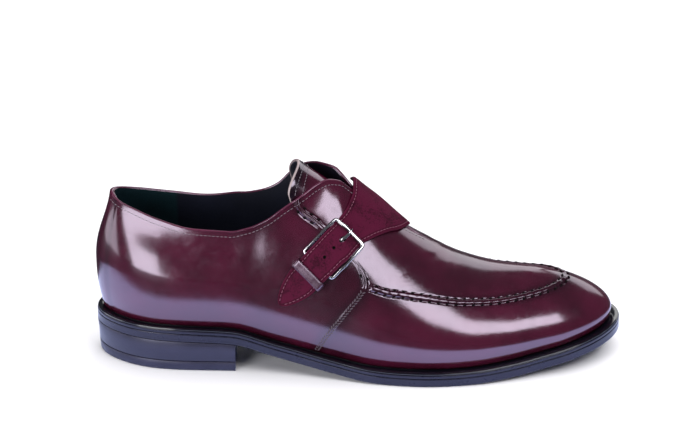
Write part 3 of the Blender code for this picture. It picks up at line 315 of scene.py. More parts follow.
def sole_top(x):
    """Height of the sole's upper face."""
    return underside(x) + SOLE_THICK


def flat_inset(value):
    """An inset that is the same all round."""
    return lambda s: value + 0 * s


sole_profile = ((0.0010, 0.0000), (0.0004, 0.0001), (0.0001, 0.0003), (0.0000, 0.0007), (0.0001, 0.0013),
                (0.0001, 0.0025), (0.0001, 0.0040), (0.0001, 0.0046), (0.0003, 0.0048), (0.0020, 0.0048))
outsole = plate("outsole_leather", [sole_ring(SOLE_SECTIONS, flat_inset(inset), raised(underside, up))
                                    for inset, up in sole_profile], edge_black)
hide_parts("outsole")

# Welt. A strip of black leather round the upper, rounded and waxed to a gloss at its edge, with a
# shallow groove where it meets the upper. It is sewn to the upper and the sole.
WELT_EDGE = 0.0060
SEAT_EDGE = 0.0045
WALL = 0.0020
WELT_REACH = columns("along edge", (0.0, SEAT_EDGE), (0.28, SEAT_EDGE), (0.55, WELT_EDGE), (1.0, WELT_EDGE))
FLUSH_RINGS = 5


def welt_edge(section):
    """How far the welt stands out past the upper: less at the seat and the waist."""
    return read(WELT_REACH, "edge", section)


def across_welt(share):
    """An inset at a share of the welt's breadth."""
    return lambda s: share * (welt_edge(s) + WALL)


welt_black = dye("welt_leather", (0.003, 0.003, 0.006), (0.007, 0.006, 0.011), (0.05, 0.11), 0.04,
                 Specular_IOR_Level=1.0)
welt_profile = [(0.035, 0.00), (0.018, 0.04), (0.016, 0.25), (0.016, 0.48), (0.024, 0.55), (0.060, 0.585)]
turn = np.linspace(-0.32, 0.5, 9) * np.pi
welt_profile += [(0.17 - 0.11 * np.cos(t), 0.79 + 0.21 * np.sin(t)) for t in turn]
welt_profile += [(0.26, 1.0), (0.42, 0.98), (0.54, 0.93), (0.64, 0.90), (1.0, 0.90), (1.0, 0.02), (0.3, 0.02)]
rings = [sole_ring(SOLE_SECTIONS, across_welt(share), raised(sole_top, GAP + up * WELT_THICK))
         for share, up in welt_profile]
flush = np.arange(len(rings)) < FLUSH_RINGS
welt = make_piece("welt_strip", np.concatenate(rings),
                  grid_faces(len(rings), len(rings[0]), wrap_rows=True, wrap_count=True),
                  [welt_black, edge_black], np.repeat(flush, len(rings[0])))
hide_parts("welt")

# Heel. A stack of leather lifts, blacked and burnished, with its breast cut straight across. The
# rubber top lift under it is nailed on and shows as a fine line.
HEEL_LENGTH = 0.0800
HEEL_TAPER = 0.0012
TOP_LIFT = 0.0058
LIFT_THICK = 0.0042
HEEL_ARRIS = 0.0003


def heel_ring(inset, height):
    """A ring on the heel's outline with a straight breast."""
    share = 1 - np.cos(np.linspace(0, np.pi / 2, 71))
    sections = share * HEEL_LENGTH / LENGTH
    lateral = sole_edge(LATERAL, sections, np.full(len(sections), inset))[0]
    medial = sole_edge(MEDIAL, sections, np.full(len(sections), inset))[0]
    lateral[0] = medial[0] = (lateral[0] + medial[0]) / 2
    lateral[-1, 0] = medial[-1, 0] = HEEL_LENGTH
    plan = np.concatenate((lateral, medial[:0:-1]))
    return np.concatenate((plan, height(plan[:, :1])), axis=-1)


def heel_solid(name, rings, finish):
    """A plate of rings whose breast and ends meet at sharp edges."""
    made = plate(name, rings, finish)
    made.data.set_sharp_from_angle(angle=0.9)
    return made


def flat_at(z):
    """A height that is the same everywhere."""
    return lambda x: z + 0 * x


heel_black, tree, shader = new_finish("heel_stack", Specular_IOR_Level=0.55, Specular_Tint=EDGE_SHINE)
place = tree.nodes.new("ShaderNodeTexCoord").outputs["Object"]
height = put(tree, "ShaderNodeSeparateXYZ", {"Vector": place}).outputs["Z"]
stack = put(tree, "ShaderNodeMath", {0: height, 1: 2 * np.pi / LIFT_THICK}, operation="MULTIPLY")
lines = put(tree, "ShaderNodeMath", {0: stack.outputs[0]}, operation="SINE")
line = put(tree, "ShaderNodeMapRange", {"Value": lines.outputs[0], "From Min": 0.97, "From Max": 1.0})
spots = marks(tree, 60.0, 900.0, 300.0)
colour = ramp(tree, spots["Clouds"], (0.3, (0.009, 0.008, 0.017)), (0.7, (0.016, 0.014, 0.029)))
gloss = put(tree, "ShaderNodeMapRange", {"Value": spots["Scuffs"], "To Min": 0.26, "To Max": 0.46})
relief = put(tree, "ShaderNodeMath", {0: spots["Pores"], 1: line.outputs[0]}, operation="SUBTRACT")
dent = put(tree, "ShaderNodeBump", {"Height": relief.outputs[0], "Strength": 0.12, "Distance": 0.0002})
tree.links.new(colour, shader.inputs["Base Color"])
tree.links.new(gloss.outputs[0], shader.inputs["Roughness"])
tree.links.new(dent.outputs[0], shader.inputs["Normal"])
taper = HEEL_TAPER * TOP_LIFT / HEEL_HEIGHT
heel = heel_solid("heel_block", [
    heel_ring(HEEL_TAPER - taper + HEEL_ARRIS, flat_at(TOP_LIFT + GAP * 0.6)),
    heel_ring(HEEL_TAPER - taper, flat_at(TOP_LIFT + GAP + HEEL_ARRIS)),
    heel_ring(0.5 * HEEL_TAPER, lambda x: 0.5 * (TOP_LIFT + underside(x))),
    heel_ring(0.0, raised(underside, -GAP - HEEL_ARRIS)),
    heel_ring(HEEL_ARRIS, raised(underside, -GAP * 0.5)),
], heel_black)
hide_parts("heel")
rubber = dye("heel_rubber", (0.009, 0.008, 0.018), (0.017, 0.015, 0.031), (0.30, 0.44), 0.2,
             cloud=80.0, pore=2600.0, Specular_IOR_Level=0.5, Specular_Tint=EDGE_SHINE)
top_lift = heel_solid("top_lift_rubber", [
    heel_ring(HEEL_TAPER + 0.0006, flat_at(0.0)),
    heel_ring(HEEL_TAPER + 0.0001, flat_at(0.0004)),
    heel_ring(HEEL_TAPER - taper, flat_at(TOP_LIFT - HEEL_ARRIS)),
    heel_ring(HEEL_TAPER - taper + HEEL_ARRIS, flat_at(TOP_LIFT)),
], rubber)
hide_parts("top_lift")

# Insole. A navy sock of smooth lining leather, glued on the insole board and pressed a little hollow
# by the last.
INSOLE_THICK = 0.0046
SOCK_REACH = 0.026
sock_leather = dye("sock_leather", (0.006, 0.008, 0.016), (0.014, 0.018, 0.032), (0.42, 0.58), 0.15)


def across_sock(share, rim):
    """An inset at a share of the way from the sock's edge to the shoe's middle line."""
    return lambda s: welt_edge(s) + WALL + GAP + rim + share * SOCK_REACH


sock_profile = ((0.0, 0.0, 0.0), (0.0, 0.0, 0.80), (0.0, 0.0004, 0.93), (0.0, 0.0012, 1.0),
                (0.2, 0.0012, 0.98), (0.45, 0.0012, 0.92), (0.7, 0.0012, 0.88), (0.8, 0.0012, 0.87))
sock_rings = [sole_ring(SOLE_SECTIONS, across_sock(share, rim), raised(sole_top, GAP + up * INSOLE_THICK))
              for share, rim, up in sock_profile]
sock = plate("sock", sock_rings, sock_leather)
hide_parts("insole")

# Upper. Calf about 2 mm thick with its lining, pulled over the last. Panels meet under a raised seam
# round the apron and a raised seam down each quarter. Painted shade darkens the colour round the seams.
BACK_HEIGHT = 0.0698
INSTEP_HEIGHT = 0.0935
TOE_HEIGHT = 0.0335
COLLAR_WIDTH = 0.0500
HEEL_BULGE = 0.0036
SIDE_BULGE = 0.0060
SLIT_END = 0.638
BULGE = columns(
    "along  lateral            medial             height               rise",
    (0.00, 1.00 * HEEL_BULGE, 1.00 * HEEL_BULGE, 0.433 * BACK_HEIGHT, 0.40),
    (0.06, 0.95 * HEEL_BULGE, 0.95 * HEEL_BULGE, 0.413 * BACK_HEIGHT, 0.40),
    (0.16, 0.90 * HEEL_BULGE, 0.85 * HEEL_BULGE, 0.361 * BACK_HEIGHT, 0.40),
    (0.27, 0.60 * SIDE_BULGE, 1.00 * SIDE_BULGE, 0.320 * BACK_HEIGHT, 0.40),
    (0.38, 0.60 * SIDE_BULGE, 1.60 * SIDE_BULGE, 0.200 * INSTEP_HEIGHT, 0.40),
    (0.50, 0.45 * SIDE_BULGE, 1.20 * SIDE_BULGE, 0.160 * INSTEP_HEIGHT, 0.42),
    (0.62, 0.35 * SIDE_BULGE, 0.50 * SIDE_BULGE, 0.360 * TOE_HEIGHT, 0.42),
    (0.75, 0.30 * SIDE_BULGE, 0.30 * SIDE_BULGE, 0.300 * TOE_HEIGHT, 0.42),
    (0.88, 0.25 * SIDE_BULGE, 0.25 * SIDE_BULGE, 0.220 * TOE_HEIGHT, 0.42),
    (1.00, 0.20 * SIDE_BULGE, 0.20 * SIDE_BULGE, 0.140 * TOE_HEIGHT, 0.42),
)
VAMP_TOP = (
    (0.638, 0.6380, 0.000 * COLLAR_WIDTH, 0.598 * INSTEP_HEIGHT, 0.45, 0.00),
    (0.700, 0.6950, 0.000 * COLLAR_WIDTH, 0.497 * INSTEP_HEIGHT, 0.45, 0.00),
    (0.780, 0.7600, 0.000 * COLLAR_WIDTH, 1.165 * TOE_HEIGHT, 0.45, 0.00),
    (0.880, 0.8200, 0.000 * COLLAR_WIDTH, 1.055 * TOE_HEIGHT, 0.42, 0.00),
    (1.000, 0.8500, 0.000 * COLLAR_WIDTH, 1.000 * TOE_HEIGHT, 0.40, 0.10),
)
TOP = {
    LATERAL: columns(
        "section along  out                  height                 lean  drop",
        (0.000, 0.0330, 0.000 * COLLAR_WIDTH, 1.000 * BACK_HEIGHT, 0.20, 0.35),
        (0.001, 0.0337, 0.040 * COLLAR_WIDTH, 0.999 * BACK_HEIGHT, 0.20, 0.35),
        (0.004, 0.0357, 0.080 * COLLAR_WIDTH, 0.992 * BACK_HEIGHT, 0.20, 0.35),
        (0.014, 0.0403, 0.134 * COLLAR_WIDTH, 0.978 * BACK_HEIGHT, 0.20, 0.35),
        (0.030, 0.0480, 0.180 * COLLAR_WIDTH, 0.960 * BACK_HEIGHT, 0.20, 0.35),
        (0.075, 0.0800, 0.270 * COLLAR_WIDTH, 0.912 * BACK_HEIGHT, 0.20, 0.35),
        (0.120, 0.1200, 0.350 * COLLAR_WIDTH, 0.857 * BACK_HEIGHT, 0.20, 0.35),
        (0.190, 0.1900, 0.440 * COLLAR_WIDTH, 0.799 * BACK_HEIGHT, 0.15, 0.35),
        (0.257, 0.2570, 0.480 * COLLAR_WIDTH, 0.796 * BACK_HEIGHT, 0.15, 0.35),
        (0.292, 0.2920, 0.490 * COLLAR_WIDTH, 0.856 * BACK_HEIGHT, 0.15, 0.35),
        (0.327, 0.3270, 0.490 * COLLAR_WIDTH, 0.970 * BACK_HEIGHT, 0.20, 0.35),
        (0.363, 0.3630, 0.460 * COLLAR_WIDTH, 0.831 * INSTEP_HEIGHT, 0.20, 0.35),
        (0.398, 0.3980, 0.380 * COLLAR_WIDTH, 0.919 * INSTEP_HEIGHT, 0.25, 0.30),
        (0.422, 0.4220, 0.280 * COLLAR_WIDTH, 0.975 * INSTEP_HEIGHT, 0.30, 0.25),
        (0.443, 0.4430, 0.180 * COLLAR_WIDTH, 0.998 * INSTEP_HEIGHT, 0.35, 0.20),
        (0.465, 0.4650, 0.100 * COLLAR_WIDTH, 0.986 * INSTEP_HEIGHT, 0.40, 0.15),
        (0.480, 0.4800, 0.065 * COLLAR_WIDTH, 0.950 * INSTEP_HEIGHT, 0.42, 0.12),
        (0.535, 0.5350, 0.055 * COLLAR_WIDTH, 0.829 * INSTEP_HEIGHT, 0.44, 0.08),
        (0.592, 0.5920, 0.040 * COLLAR_WIDTH, 0.690 * INSTEP_HEIGHT, 0.45, 0.04),
        *VAMP_TOP,
    ),
    MEDIAL: columns(
        "section along  out                  height                 lean  drop",
        (0.000, 0.0330, 0.000 * COLLAR_WIDTH, 1.000 * BACK_HEIGHT, 0.20, 0.35),
        (0.001, 0.0337, 0.040 * COLLAR_WIDTH, 0.999 * BACK_HEIGHT, 0.20, 0.35),
        (0.004, 0.0357, 0.080 * COLLAR_WIDTH, 0.996 * BACK_HEIGHT, 0.20, 0.35),
        (0.014, 0.0403, 0.134 * COLLAR_WIDTH, 0.990 * BACK_HEIGHT, 0.20, 0.35),
        (0.030, 0.0480, 0.180 * COLLAR_WIDTH, 0.980 * BACK_HEIGHT, 0.20, 0.35),
        (0.075, 0.0800, 0.270 * COLLAR_WIDTH, 0.946 * BACK_HEIGHT, 0.20, 0.35),
        (0.140, 0.1400, 0.370 * COLLAR_WIDTH, 0.889 * BACK_HEIGHT, 0.20, 0.35),
        (0.220, 0.2200, 0.440 * COLLAR_WIDTH, 0.842 * BACK_HEIGHT, 0.15, 0.35),
        (0.277, 0.2770, 0.480 * COLLAR_WIDTH, 0.865 * BACK_HEIGHT, 0.15, 0.35),
        (0.310, 0.3100, 0.480 * COLLAR_WIDTH, 0.921 * BACK_HEIGHT, 0.20, 0.35),
        (0.346, 0.3460, 0.470 * COLLAR_WIDTH, 1.029 * BACK_HEIGHT, 0.20, 0.35),
        (0.375, 0.3750, 0.440 * COLLAR_WIDTH, 0.885 * INSTEP_HEIGHT, 0.22, 0.33),
        (0.404, 0.4040, 0.360 * COLLAR_WIDTH, 0.972 * INSTEP_HEIGHT, 0.25, 0.30),
        (0.427, 0.4270, 0.280 * COLLAR_WIDTH, 1.005 * INSTEP_HEIGHT, 0.30, 0.25),
        (0.455, 0.4550, 0.180 * COLLAR_WIDTH, 1.015 * INSTEP_HEIGHT, 0.35, 0.20),
        (0.474, 0.4740, 0.100 * COLLAR_WIDTH, 0.978 * INSTEP_HEIGHT, 0.40, 0.15),
        (0.490, 0.4900, 0.050 * COLLAR_WIDTH, 0.930 * INSTEP_HEIGHT, 0.42, 0.12),
        (0.535, 0.5350, 0.035 * COLLAR_WIDTH, 0.829 * INSTEP_HEIGHT, 0.44, 0.08),
        (0.592, 0.5920, 0.025 * COLLAR_WIDTH, 0.690 * INSTEP_HEIGHT, 0.45, 0.04),
        *VAMP_TOP,
    ),
}


def feather_height(x):
    """Height at which the upper stands on the welt."""
    return underside(x) + SOLE_THICK + WELT_THICK + 2.3 * GAP


def last(side, section, level):
    """Surface over the last: Bezier arcs from featherline (-1) to widest line (0) to top line (1)."""
    section, level = np.broadcast_arrays(np.asarray(section, dtype=float), np.asarray(level, dtype=float))
    plan, outward = sole_edge(side, section, welt_edge(section))
    foot = np.concatenate((plan, feather_height(plan[..., :1])), axis=-1)
    bulge = foot + np.concatenate((
        outward * read(BULGE, SIDE_NAME[side], section)[..., None],
        read(BULGE, "height", section)[..., None]), axis=-1)
    table = TOP[side]
    along = read(table, "along", section) * LENGTH
    middle = read(OUTLINE, "ridge", along / LENGTH)
    top = np.stack((along, middle + side * read(table, "out", section),
                    feather_height(along) + read(table, "height", section)), axis=-1)
    up = np.array((0.0, 0.0, 1.0))
    flat = np.array((1.0, 1.0, 0.0))
    tall = (top - bulge)[..., 2:]
    low = (foot, foot + (bulge - foot) * (0.55, 0.55, 0.30), bulge - (bulge - foot) * up * 0.55, bulge)
    high = (bulge,
            bulge + up * tall * read(BULGE, "rise", section)[..., None],
            top + (bulge - top) * flat * read(table, "lean", section)[..., None]
            - up * tall * read(table, "drop", section)[..., None],
            top)
    u = np.where(level < 0, level + 1, level)[..., None]
    arc = [np.where(level[..., None] < 0, a, b) for a, b in zip(low, high)]
    return (arc[0] * (1 - u) ** 3 + arc[1] * 3 * u * (1 - u) ** 2 + arc[2] * 3 * u ** 2 * (1 - u)
            + arc[3] * u ** 3)


APRON = columns(
    "along  level",
    (0.000, 0.361), (0.455, 0.361), (0.467, 0.366), (0.490, 0.373), (0.515, 0.385), (0.530, 0.394),
    (0.560, 0.408), (0.600, 0.424), (0.640, 0.446), (0.687, 0.480), (0.730, 0.513), (0.774, 0.543),
    (0.876, 0.617), (0.940, 0.675), (1.000, 0.740),
)
QUARTER_SECTION = 0.450
QUARTER_REACH = 0.180
QUARTER = columns(
    "level  lean",
    (-1.00, -0.035), (-0.50, -0.023), (0.000, -0.004), (0.100, 0.014), (0.200, 0.033), (0.290, 0.050),
    (0.367, 0.060), (0.425, 0.056), (0.470, 0.044), (0.530, 0.014), (0.650, -0.018), (0.690, -0.026),
    (0.950, -0.063), (1.000, -0.065),
)


def leaning(section, level):
    """Sections near the quarter seam lean with it, so that the seam is one of them."""
    near = np.clip(1 - ((section - QUARTER_SECTION) / QUARTER_REACH) ** 2, 0, 1) ** 2
    return section + near * read(QUARTER, "lean", level)


def smooth(value, low, high):
    """Smooth step from 0 at low to 1 at high."""
    u = np.clip((value - low) / (high - low), 0, 1)
    return u * u * (3 - 2 * u)


def bell(value, width):
    """Smooth bump: e to the minus fourth power of value over width."""
    return np.exp(-(value / width) ** 4)


def speeds(surface, section, level):
    """How fast a surface runs with section and with level: the differences over a small step each way."""
    small = 1e-4
    along = (surface(section + small, level) - surface(section - small, level)) / (2 * small)
    over = (surface(section, level + small) - surface(section, level - small)) / (2 * small)
    return along, over


def leather_at(side, section, level):
    """Place on the shell, its speeds along section and level, and its outward direction."""
    def spot(a, b):
        return last(side, leaning(a, b), b)

    along, over = speeds(spot, section, level)
    normal = -side * np.cross(along, over)
    size = np.linalg.norm(normal, axis=-1, keepdims=True)
    return spot(section, level), along, over, normal / np.where(size > 1e-12, size, 1)


STITCH_PITCH = 0.0052
APRON_SEWN = 0.0019
QUARTER_SEWN = 0.0021
PIPE_OFFSET = 0.0008
SEAM_RISE = 0.0009
PIPE_RISE = 0.0008
PLAIT_RISE = 0.0001
STRIP_RISE = 0.0007
STRIP_HALF = 0.0120
back = np.linspace(0, HEEL_ROUND, 400)
STRIP_EDGE = np.interp(STRIP_HALF, abs(sole_edge(MEDIAL, back, welt_edge(back))[0][:, 1]), back)


def apron_run(side, section):
    """Length along the apron seam from the middle of the toe, added up from its chords."""
    trial = np.linspace(QUARTER_SECTION, 1, 1200)
    level = read(APRON, "level", trial)
    spot = last(side, leaning(trial, level), level)
    steps = np.linalg.norm(np.diff(spot, axis=0), axis=-1)
    run = np.concatenate((np.cumsum(steps[::-1])[::-1], [0.0]))
    return np.interp(section, trial, run)


def seam_relief(side, section, level, along, over):
    """Height of seams on the shell, and the painted shade along the seams and the back strip's edge.

    The apron seam is a rounded band between two sewn grooves, drawn in at each stitch by a cosine. The
    quarter seam is a pair of pipes, and lower down a flat plait. The strip at the back is a low step.
    """
    pace = np.linalg.norm(over, axis=-1)
    reach = np.linalg.norm(along, axis=-1)
    apron = (level - read(APRON, "level", section)) * pace
    quarter = (section - QUARTER_SECTION) * reach
    on_apron = smooth(section, 0.456, 0.464)
    puff = 0.5 + 0.5 * np.cos(2 * np.pi * (apron_run(side, section) / STITCH_PITCH - 0.5))
    groove = (0.0001 + 0.00025 * puff) * bell(abs(apron) - APRON_SEWN, 0.0006)
    height = on_apron * ((SEAM_RISE - 0.0002 * puff) * bell(apron, 0.0016) - groove)
    free = 1.0
    if side == LATERAL:
        free = 1 - smooth(level, 0.43, 0.47) * (1 - smooth(level, 0.66, 0.70))
    pipes = smooth(level, 0.33, 0.38)
    sunk = 0.0003 * bell(abs(quarter) - QUARTER_SEWN, 0.0005)
    pair = PIPE_RISE * bell(abs(quarter) - PIPE_OFFSET, 0.00055) - sunk
    plait = PLAIT_RISE * bell(quarter, 0.0012)
    height = height + free * pipes * pair + (1 - pipes) * plait * smooth(level, -0.98, -0.7)
    strip_edge = (section - STRIP_EDGE) * reach
    at_back = 1 - smooth(section, 0.05, 0.09)
    height = height + at_back * STRIP_RISE * (1 - smooth(strip_edge, -0.0004, 0.0004))
    # Painted shade: the colour is darkened along the apron and quarter seams and at the back strip's edge.
    shade = np.maximum(0.22 * on_apron * bell(apron, 0.0042), 0.22 * bell(quarter, 0.0045))
    shade = np.maximum(shade, 0.25 * at_back * bell(strip_edge, 0.0010))
    return height, shade


CREASES = columns(
    "section level  angle  length  width   depth",
    (0.640, 0.800, 0.9, 0.0120, 0.0026, 0.00018),
    (0.658, 0.735, 1.1, 0.0100, 0.0024, 0.00013),
    (0.585, 0.570, 0.9, 0.0060, 0.0014, 0.00009),
    (0.600, 0.630, 1.0, 0.0055, 0.0013, 0.00008),
    (0.572, 0.650, 0.8, 0.0050, 0.0013, 0.00007),
    (0.175, 0.560, 0.8, 0.0100, 0.0018, 0.00007),
    (0.200, 0.450, 0.7, 0.0085, 0.0016, 0.00007),
    (0.218, 0.600, 1.0, 0.0075, 0.0016, 0.00006),
    (0.186, 0.660, 0.9, 0.0080, 0.0016, 0.00006),
    (0.240, 0.500, 0.8, 0.0070, 0.0015, 0.00006),
)
CREASE_WAVE = 0.0008


def crease_relief(side, section, spot):
    """Soft troughs placed one by one: each is a bell across and along its own slanted line."""
    depth = 0.0 * section
    for k in range(len(CREASES["section"])):
        row = {name: values[k] for name, values in CREASES.items()}
        middle, along, over, _ = leather_at(side, np.array(row["section"]), np.array(row["level"]))
        along, over = along / np.linalg.norm(along), over / np.linalg.norm(over)
        way = np.cos(row["angle"]) * along + np.sin(row["angle"]) * over
        square = -np.sin(row["angle"]) * along + np.cos(row["angle"]) * over
        a, b = (spot - middle) @ way, (spot - middle) @ square
        b = b + CREASE_WAVE * np.sin(a / row["length"] * 3.0)
        lip = 0.5 * np.exp(-((b - 1.6 * row["width"]) / row["width"]) ** 2)
        line = np.exp(-(b / row["width"]) ** 2) - lip
        depth = depth + row["depth"] * line * np.exp(-(a / row["length"]) ** 2)
    return depth


def shell(side, section, level):
    """Outer face of the finished upper, with its seams and creases, and its shade."""
    spot, along, over, normal = leather_at(side, section, level)
    height, shade = seam_relief(side, section, level, along, over)
    height = height - crease_relief(side, section, spot)
    edge = smooth(section, 0.004, 0.03) * (1 - smooth(section, 0.985, 0.998))
    ridge = np.where(section > SLIT_END - 0.004, 1 - smooth(level, 0.985, 1.0), 1.0)
    height = height * np.maximum(edge, 1 - smooth(section, 0.0, 0.03)) * ridge
    return spot + normal * height[..., None], shade, normal


SEAM_COLUMNS = 0.0040
half_seam = SEAM_COLUMNS / LENGTH
shell_sections = np.concatenate((
    0.12 * (1 - np.cos(np.linspace(0, np.pi / 2, 24))), np.linspace(0.127, 0.33, 28),
    np.linspace(0.336, 0.431, 24),
    np.linspace(QUARTER_SECTION - half_seam, QUARTER_SECTION + half_seam, 26), np.linspace(0.468, 0.52, 12),
    np.linspace(0.524, SLIT_END, 44), np.linspace(0.6405, 0.862, 80),
    1 - 0.135 * (1 - np.cos(np.linspace(np.pi / 2, 0, 44)))))
SEAM_ROWS = 0.0036


def shell_levels(side, sections):
    """Levels of the rows: even up to the apron seam, close on it, and even up to the top line."""
    middle = read(APRON, "level", sections)
    step = 0.01
    pace = np.linalg.norm(last(side, sections, middle + step) - last(side, sections, middle - step), axis=-1)
    half = SEAM_ROWS * 2 * step / pace
    low = np.linspace(-1, 0, 9)[:-1, None] + 0 * sections
    rise = np.linspace(0, 1, 17)[:-1, None] * (middle - half)
    seam = middle + np.linspace(-1, 1, 21)[:-1, None] * half
    over = middle + half + (1 - middle - half) * np.sin(np.linspace(0, 0.5, 33) * np.pi)[:, None] ** 1.15
    return np.concatenate((low, rise, seam, over))


def shell_grid(side):
    """Points, shade, sections and levels of one side of the shell."""
    levels = shell_levels(side, shell_sections)
    sections = np.broadcast_to(shell_sections, levels.shape)
    points, shade, _ = shell(side, sections, levels)
    return points, shade, sections, levels


grids = {side: shell_grid(side) for side in (LATERAL, MEDIAL)}


def ring_join(lateral, medial):
    """Two sides of a grid joined to closed rings, with their shared ends averaged."""
    lateral, medial = lateral.copy(), medial.copy()
    for end in (0, -1):
        lateral[:, end] = medial[:, end] = (lateral[:, end] + medial[:, end]) / 2
    return np.concatenate((lateral, medial[:, -2:0:-1]), axis=1)


outer, shade, section_of, level_of = (ring_join(*pair) for pair in zip(grids[LATERAL], grids[MEDIAL]))
rows, count = outer.shape[:2]
closed = int(np.argmin(abs(shell_sections - SLIT_END)))
far = np.arange(closed, len(shell_sections) - 1)
meeting = (outer[-1, far] + outer[-1, count - far]) / 2
outer[-1, far] = outer[-1, count - far] = meeting

LINING_ROWS = (0, 3, 6, 8, 11, 14, 17, 20, 23, 28, 33, 38, 43, 48, 54, 60, 66, 71, 75, rows - 1)
bare = {side: leather_at(side, *(values[list(LINING_ROWS)] for values in grids[side][2:]))
        for side in (LATERAL, MEDIAL)}
inner = ring_join(*(bare[side][0] - WALL * bare[side][3] for side in (LATERAL, MEDIAL)))
inner[0, :, 2] = outer[0, :, 2]
meeting = (inner[-1, far] + inner[-1, count - far]) / 2
meeting[:, 2] = np.minimum(inner[-1, far, 2], inner[-1, count - far, 2])
inner[-1, far] = inner[-1, count - far] = meeting
lining_part = np.broadcast_to(section_of[0], (len(LINING_ROWS), count))

first_inner = rows * count
outer_faces = grid_faces(rows, count, wrap_count=True)
inner_faces = grid_faces(len(LINING_ROWS), count, wrap_count=True)[:, ::-1] + first_inner
k = np.arange(count)
n = (k + 1) % count
open_edge = (np.minimum(k, (count - k) % count) < closed) & (np.minimum(n, (count - n) % count) <= closed)
top_outer, top_inner = (rows - 1) * count, first_inner + (len(LINING_ROWS) - 1) * count
rim = np.stack((top_outer + k, top_outer + n, top_inner + n, top_inner + k), axis=-1)[open_edge]
foot_strip = np.stack((n, k, first_inner + k, first_inner + n), axis=-1)


CALF_SHINE = (0.80, 0.70, 0.86, 1.0)


def calf(name, dark, middle, light, rough, wrinkles):
    """Polished calf: dye drifts in clouds, painted shade darkens it by the seams, and it has fine pores and
    wrinkles.
    """
    made, tree, shader = new_finish(name, IOR=1.6, Specular_IOR_Level=1.0, Specular_Tint=CALF_SHINE)
    spots = marks(tree, 22.0, 1500.0, 240.0)
    # Painted shade: the shade fact darkens the colour by the seams and along the tongue's rear edge.
    painted_shade = put(tree, "ShaderNodeAttribute", attribute_name="shade").outputs["Fac"]
    drift = put(tree, "ShaderNodeMath", {0: spots["Clouds"], 1: painted_shade}, operation="SUBTRACT")
    colour = ramp(tree, drift.outputs[0], (0.0, dark), (0.42, middle), (0.62, light))
    place = tree.nodes.new("ShaderNodeTexCoord").outputs["Object"]
    stretch = put(tree, "ShaderNodeMapping", {"Vector": place, "Rotation": (0.0, 0.7, 0.3),
                                              "Scale": (260.0, 90.0, 700.0)})
    fine = put(tree, "ShaderNodeTexNoise", {"Vector": stretch.outputs[0], "Scale": 1.0, "Detail": 5.0,
                                            "Roughness": 0.65, "Distortion": 1.2})
    flex = put(tree, "ShaderNodeAttribute", attribute_name="flex").outputs["Fac"]
    patch = put(tree, "ShaderNodeMapRange", {"Value": spots["Clouds"], "From Min": 0.45, "From Max": 0.62,
                                             "To Max": 0.4})
    worked = put(tree, "ShaderNodeMath", {0: flex, 1: patch.outputs[0]}, operation="ADD")
    folds = put(tree, "ShaderNodeMath", {0: fine.outputs["Fac"], 1: worked.outputs[0]}, operation="MULTIPLY")
    pores = put(tree, "ShaderNodeMath", {0: spots["Pores"], 1: 0.08}, operation="MULTIPLY")
    fold = put(tree, "ShaderNodeMath", {0: folds.outputs[0], 1: wrinkles}, operation="MULTIPLY")
    relief = put(tree, "ShaderNodeMath", {0: fold.outputs[0], 1: pores.outputs[0]}, operation="ADD")
    dent = put(tree, "ShaderNodeBump", {"Height": relief.outputs[0], "Strength": 0.42, "Distance": 0.00018})
    shine = put(tree, "ShaderNodeMapRange", {"Value": spots["Scuffs"], "From Min": 0.3, "From Max": 0.7,
                                             "To Min": rough[0], "To Max": rough[1]})
    tree.links.new(colour, shader.inputs["Base Color"])
    tree.links.new(shine.outputs[0], shader.inputs["Roughness"])
    tree.links.new(dent.outputs[0], shader.inputs["Normal"])
    return made


burgundy = calf("polished_calf", (0.005, 0.0009, 0.003), (0.027, 0.0020, 0.0085), (0.050, 0.0038, 0.016),
                (0.12, 0.20), 0.76)


LINING_SEAM = 0.153


def lining_finish():
    """Navy lining leather, which is a dark green round the heel, with a seam line between."""
    made, tree, shader = new_finish("lining_leather", Coat_Weight=0.08, Coat_Roughness=0.35)
    spots = marks(tree, 50.0, 1300.0, 300.0)
    part = put(tree, "ShaderNodeAttribute", attribute_name="part").outputs["Fac"]
    heel_part = ramp(tree, part, (LINING_SEAM - 0.003, (0.004, 0.018, 0.024)),
                     (LINING_SEAM + 0.003, (0.0065, 0.0075, 0.016)))
    tint = ramp(tree, spots["Clouds"], (0.3, (0.75,)), (0.7, (1.25,)))
    colour = put(tree, "ShaderNodeMix", {"Factor": 1.0, 6: heel_part, 7: tint}, data_type="RGBA",
                 blend_type="MULTIPLY")
    seam = put(tree, "ShaderNodeMath", {0: part, 1: LINING_SEAM}, operation="SUBTRACT")
    off = put(tree, "ShaderNodeMath", {0: seam.outputs[0]}, operation="ABSOLUTE")
    line = put(tree, "ShaderNodeMapRange", {"Value": off.outputs[0], "From Min": 0.0, "From Max": 0.004})
    relief = put(tree, "ShaderNodeMath", {0: line.outputs[0], 1: spots["Pores"]}, operation="ADD")
    dent = put(tree, "ShaderNodeBump", {"Height": relief.outputs[0], "Strength": 0.25, "Distance": 0.0003})
    tree.links.new(colour.outputs[2], shader.inputs["Base Color"])
    tree.links.new(dent.outputs[0], shader.inputs["Normal"])
    shader.inputs["Roughness"].default_value = 0.48
    return made


